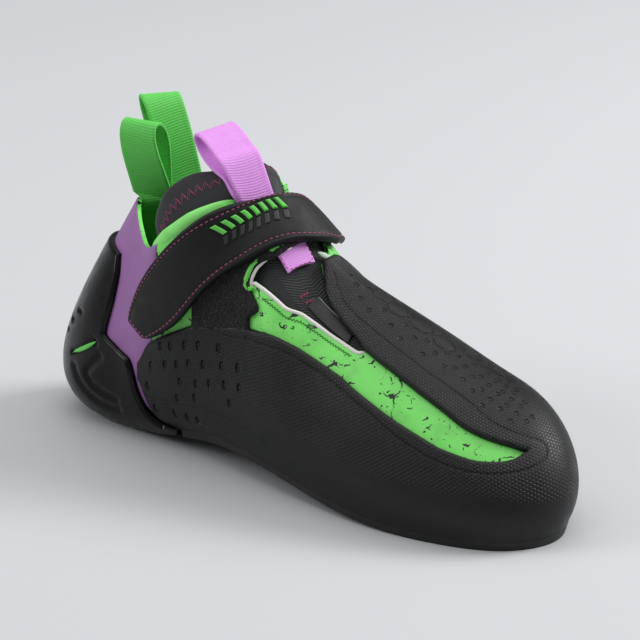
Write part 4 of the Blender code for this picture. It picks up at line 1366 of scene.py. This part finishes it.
def tab_piece():
    """The fleece with a rough pile."""
    w = TAB_FOOT + (TAB_SIDES[1] - TAB_FOOT) * packed(56, 1.0, 0.55)
    t = packed(30, 1.0, 0.55)
    rng = np.random.default_rng(5)
    rough = rng.normal(0, 1, (len(w), len(t)))
    rough = (rough + np.roll(rough, 1, 0) + np.roll(rough, 1, 1) + np.roll(rough, (1, 1), (0, 1))) / 2

    def point(a, b, lift):
        back, front = np.moveaxis(TAB_ENDS(np.maximum(a, TAB_SIDES[0])), -1, 0)
        below = np.clip((TAB_SIDES[0] - a) / (TAB_SIDES[0] - TAB_FOOT), 0, 1)
        front = front + (5.0 - front) * below * 0.6
        return cover(back * (1 - b) + front * b, a, lift)

    def relief(down, across):
        return PILE * rough

    tab = slab("fleece_tab", point, w, t, (TAB[0] - 0.5 * MM, TAB[1]), 1.0 * MM, [FLEECE], relief)
    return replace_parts(tab, "closure_tab")


tab_piece()


# Points along a run of the strap, as shares of its half length, and how much each counts
STRAP_MEAN = ((-1, 0.08), (-0.67, 0.14), (-0.33, 0.18), (0, 0.20), (0.33, 0.18), (0.67, 0.14), (1, 0.08))
STRAP_REACH = 0.65


def strap_point(a, b, lift):
    """A point of the strap, the mean of a short run along it, so that it bends smoothly."""
    a, b, lift = np.broadcast_arrays(np.asarray(a, float), b, lift)
    reach = np.minimum(STRAP_REACH, np.minimum(a, STRAP_ROWS - a))
    total = 0
    for t, weight in STRAP_MEAN:
        k, w = strap_sheet(a + t * reach, b)
        total = total + weight * cover(k, w, lift)
    return total


SEAM_INSET, SEAM_DIP, SEAM_WIDTH = 2.3 * MM, 0.28 * MM, 0.55 * MM


def strap_piece():
    """The strap, pressed in along its seam."""
    def relief(down, across):
        line = np.minimum(np.minimum(across, across[:, -1:] - across), down) - SEAM_INSET
        return -SEAM_DIP * np.exp(-((line / SEAM_WIDTH) ** 2))

    strap = slab("strap", strap_point, STRAP_ROWS * packed(118, 1.4, 0.8), packed(27, 1.1, 0.7), STRAP, 0.9 * MM,
                 [STRAP_FINISH, FLEECE], relief, least=0.35)
    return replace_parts(strap, "strap")


strap_piece()


# Where the strap's seam runs: shares across it, and along it from its free end
STITCH_SIDES, STITCH_END = (0.085, 0.915), 0.21


def strap_stitching():
    """The strap's pink seam, along both edges and round its free end."""
    a, end = np.linspace(0.22, 9.9, 500), np.linspace(*STITCH_SIDES, 80)
    seams = [(a, np.full(a.shape, side)) for side in STITCH_SIDES] + [(np.full(end.shape, STITCH_END), end)]
    runs, normals = [], []
    for a, b in seams:
        r, n = dashes(*raised(strap_point, a, b, STRAP[1] - 0.18 * MM), 1.35 * MM, 0.85 * MM)
        runs += r
        normals += n
    stitches("strap_stitches", runs, normals, 0.22 * MM, PINK_THREAD)


strap_stitching()


# The bars' middles along the strap, and how far a bar leans over its width
BAR_START, BAR_STEP, BAR_WIDTH = 3.70, 0.335, 0.17
BAR_ROWS = (
    # near and far end from the rear edge in mm, slant, height in mm
    ("green", 4.4, 9.8, 0.16, 1.1, BAR_GREEN),
    ("grey", 10.6, 14.0, -0.10, 0.5, BAR_GREY),
)


def strap_bars():
    """Raised slanting bars, a green row over a dark one that mirrors it."""
    for i in range(8):
        middle = BAR_START + BAR_STEP * i
        width = float(np.linalg.norm(strap_point(middle, 1.0, STRAP[1]) - strap_point(middle, 0.0, STRAP[1])))
        for name, near, far, slant, height, material in BAR_ROWS:
            top, bottom = (1 - d * MM / width for d in (near, far))

            def point(a, b, lift, middle=middle, top=top, bottom=bottom, slant=slant):
                along = middle + slant * (a - 0.5) + BAR_WIDTH * (b - 0.5)
                return strap_point(along, top * (1 - a) + bottom * a, lift)

            slab("strap_bar_%s_%d" % (name, i), point, packed(6, 0.5, 1.0), packed(2.2, 0.5, 0.6),
                 (STRAP[1] - 0.2 * MM, STRAP[1] + height * MM), 0.35 * MM, [material], least=0.5)


strap_bars()


# The pull loops

# The webbing's woven edge: how thick it starts, and where and how much it swells behind its rounding
EDGE_ROUND, EDGE_SWELL = 0.7 * MM, 0.18
SWELL_AT, SWELL_WIDTH = 1.1 * MM, 0.6 * MM


def webbing_piece(name, sheet, material, node, rows):
    """Webbing along a sheet's rows, with its edges rounded and slightly thicker."""
    sheet = resampled(sheet, rows)
    columns, share = packed(WEBBING_WIDTH / MM, 1.0, 0.9), np.linspace(0, 1, sheet.shape[1])
    grid = np.stack([at_runs(row, share, columns) for row in sheet])
    normal = unit(np.cross(np.gradient(grid, axis=0), np.gradient(grid, axis=1)))
    _, across = lengths(grid)
    edge = np.minimum(across, across[:, -1:] - across)
    swell = 1 + EDGE_SWELL * np.exp(-((edge - SWELL_AT) / SWELL_WIDTH) ** 2)
    half = (WEBBING_THICKNESS / 2 * (0.4 + 0.6 * rounded(edge, EDGE_ROUND)) * swell)[..., None]
    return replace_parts(solid(name, [(grid + normal * half, grid - normal * half, uv_of(grid))], [material]), node)


near_loop, far_loop = heel_loop_sheets()
webbing_piece("loop_near", near_loop, GREEN_WEB, "heel_loop_near", 150)
webbing_piece("loop_far", far_loop, GREEN_WEB, "heel_loop_far", 150)


def webbing_point(u, v, lift):
    """A point of the tongue's webbing: u its row from the lower end, v from its medial to its lateral edge."""
    rows = np.array(TONGUE_WEBBING)
    medial_k, medial_w, lateral_k, lateral_w = at_runs(rows, np.arange(len(rows)), u)
    return cover(medial_k + (lateral_k - medial_k) * v, medial_w + (lateral_w - medial_w) * v, lift)


def tongue_loop():
    """The loop with its front ply running on under the strap, and the stitches round its sewn end."""
    over = TONGUE[1] + ON_TONGUE + 1.6 * WEBBING_THICKNESS
    v = np.linspace(0, 1, 5)
    front = [webbing_point(u, v, over) for u in (3.6, 3.0, 2.4)]
    webbing_piece("loop_tongue", np.concatenate([tongue_loop_sheet()[:-1], front]), PURPLE_WEB, "tongue_loop", 190)
    top = TONGUE[1] + ON_TONGUE + WEBBING_THICKNESS + 0.05 * MM
    corners = [(1.6, 0.08), (0.12, 0.08), (0.12, 0.92), (1.6, 0.92)]
    path = evenly(np.array([webbing_point(*c, top) for c in resampled(corners, 40)]), 0.3 * MM)
    normal = raised(webbing_point, 1, 0.5, top)[1]
    seam = dashes(path, np.broadcast_to(normal, path.shape), 1.3 * MM, 0.7 * MM)
    stitches("webbing_stitches", *seam, 0.16 * MM, PINK_THREAD)


tongue_loop()


# Bindings and seams

# The free edge of the flap under the strap, as stations and shares across the cover
FLAP = ((5.56, -0.165), (5.38, -0.245), (5.12, -0.345), (4.97, -0.415))


def edge_binding():
    """The white binding round the flap and along the throat's medial edge, with the flap's green edge behind it and
    the zigzag seam beside the throat."""
    k = np.linspace(5.08, THROAT_TIP - 0.02, 40)
    h = PANELS(k)[:, 3]
    outer = [cover(a, w, 2.2 * MM) for a, w in FLAP] + list(skin(k, h, UPPER[1] - 0.1 * MM))
    inner = [cover(a, w, 0.0) for a, w in FLAP] + list(skin(k, h, -1 * MM))
    both = evenly(resampled(np.hstack([outer, inner]), 600), 0.55 * MM)
    path, n = both[:, :3], unit(both[:, :3] - both[:, 3:])
    tube("throat_binding", path, n, 0.75 * MM, 0.75 * MM, WHITE, taper=0.02)
    count = int(np.linalg.norm(path - outer[len(FLAP)], axis=1).argmin())
    side = unit(np.cross(n, unit(np.gradient(path, axis=0))))
    side = side * np.sign(((cover(4.3, -0.35, 2.2 * MM) - path[count // 2]) * side[count // 2]).sum())
    green = (path + side * 1.5 * MM + n * 1.3 * MM)[:count]
    tube("flap_edge", green, n[:count], 1.1 * MM, 0.6 * MM, BAR_GREEN, taper=0.1)
    k = np.linspace(5.25, THROAT_TIP - 0.25, 200)
    seam = zigzag(*raised(skin, k, PANELS(k)[:, 3] - 0.030, UPPER[1] + 0.05 * MM), 0.55 * MM, 1.3 * MM)
    stitches("throat_zigzag", *seam, 0.16 * MM, GREEN_THREAD)


edge_binding()


BAR_TACKS = (((5.88, -0.300), (6.02, -0.240)), ((5.98, -0.300), (6.14, -0.245)), ((6.10, -0.295), (6.28, -0.245)))


def small_seams():
    """The pink bar tacks above the label, the pale end of the lateral binding under the strap, and the green slit in
    the heel cup."""
    runs, normals = [], []
    for start, end in BAR_TACKS:
        k, w = np.linspace(start, end, 30).T
        r, n = zigzag(*raised(cover, k, w, TONGUE[1] + 0.1 * MM, TONGUE[0]), 0.7 * MM, 1.1 * MM)
        runs += r
        normals += n
    stitches("bar_tacks", runs, normals, 0.14 * MM, PINK_THREAD)
    binding = raised(cover, np.linspace(5.86, 6.08, 20), np.linspace(-0.050, 0.010, 20), 1.6 * MM)
    tube("binding_end", *binding, 1.3 * MM, 0.7 * MM, MINT, taper=0.3)
    slit = raised(skin, *drawn(HEEL_SLIT), HEEL_RUBBER[1] - 0.6 * MM)
    tube("heel_slit", *slit, 1.0 * MM, 0.5 * MM, BAR_GREEN, taper=0.35)


small_seams()


# Stage, lights and camera

FLOOR_HALF = 4


def stage():
    """The pale floor."""
    floor = bpy.data.meshes.new("floor")
    corners = [(x * FLOOR_HALF, y * FLOOR_HALF, 0) for x, y in ((-1, -1), (1, -1), (1, 1), (-1, 1))]
    floor.from_pydata(corners, [], [(0, 1, 2, 3)])
    obj = bpy.data.objects.new("floor", floor)
    bpy.context.scene.collection.objects.link(obj)
    pale = Finish("floor_paper", (0.530, 0.539, 0.552), 0.9, Specular_IOR_Level=0.1)
    floor.materials.append(pale.done())


def light(name, location, target, size, power):
    """A square area light that faces a target; its size in metres, its power in watts."""
    data = bpy.data.lights.new(name, "AREA")
    data.shape, data.size, data.energy = "SQUARE", size, power
    obj = bpy.data.objects.new(name, data)
    obj.location = location
    obj.rotation_euler = (Vector(target) - Vector(location)).to_track_quat("-Z", "Y").to_euler()
    bpy.context.scene.collection.objects.link(obj)


# The photograph's view, fitted to the outline of the heel, ball and toe: degrees, metres, and pixels per mm at the aim
AZIMUTH, ELEVATION, DISTANCE = 37.0, 20.5, 1.10
FRAME_PX, SCALE_PX = 640, 2.62
AIM = np.array((0.120, 0.0, 0.045))
SHIFT_PX = (-2.0, 31.0)
SENSOR_MM = 36


def camera():
    """The camera at the photograph's angle."""
    a, e = math.radians(AZIMUTH), math.radians(ELEVATION)
    back = Vector((math.sin(a) * math.cos(e), -math.cos(a) * math.cos(e), math.sin(e)))
    data = bpy.data.cameras.new("camera")
    data.sensor_width = SENSOR_MM
    data.lens = SENSOR_MM * SCALE_PX * 1000 * DISTANCE / FRAME_PX
    data.shift_x, data.shift_y = (s / FRAME_PX for s in SHIFT_PX)
    data.clip_start, data.clip_end = 0.05, 30
    obj = bpy.data.objects.new("camera", data)
    obj.rotation_mode = "QUATERNION"
    obj.location = Vector(AIM + SHIFT) + back * DISTANCE
    obj.rotation_quaternion = (-back).to_track_quat("-Z", "Y")
    bpy.context.scene.collection.objects.link(obj)
    bpy.context.scene.camera = obj


stage()
light("softbox", (-0.15, 0.35, 2.4), (-0.15, 0.35, 0), 3.6, 55)
light("side", (1.0, 1.1, 1.1), (0.02, 0, 0.05), 0.8, 26)
light("fill", (-1.1, -1.0, 0.9), (-0.02, 0, 0.05), 0.7, 8.5)
world = bpy.data.worlds.new("studio")
world.use_nodes = True
background = world.node_tree.nodes["Background"].inputs
background["Color"].default_value = (0.86, 0.88, 0.91, 1)
background["Strength"].default_value = 0.26
bpy.context.scene.world = world
bpy.context.scene.view_settings.view_transform = "Standard"
camera()
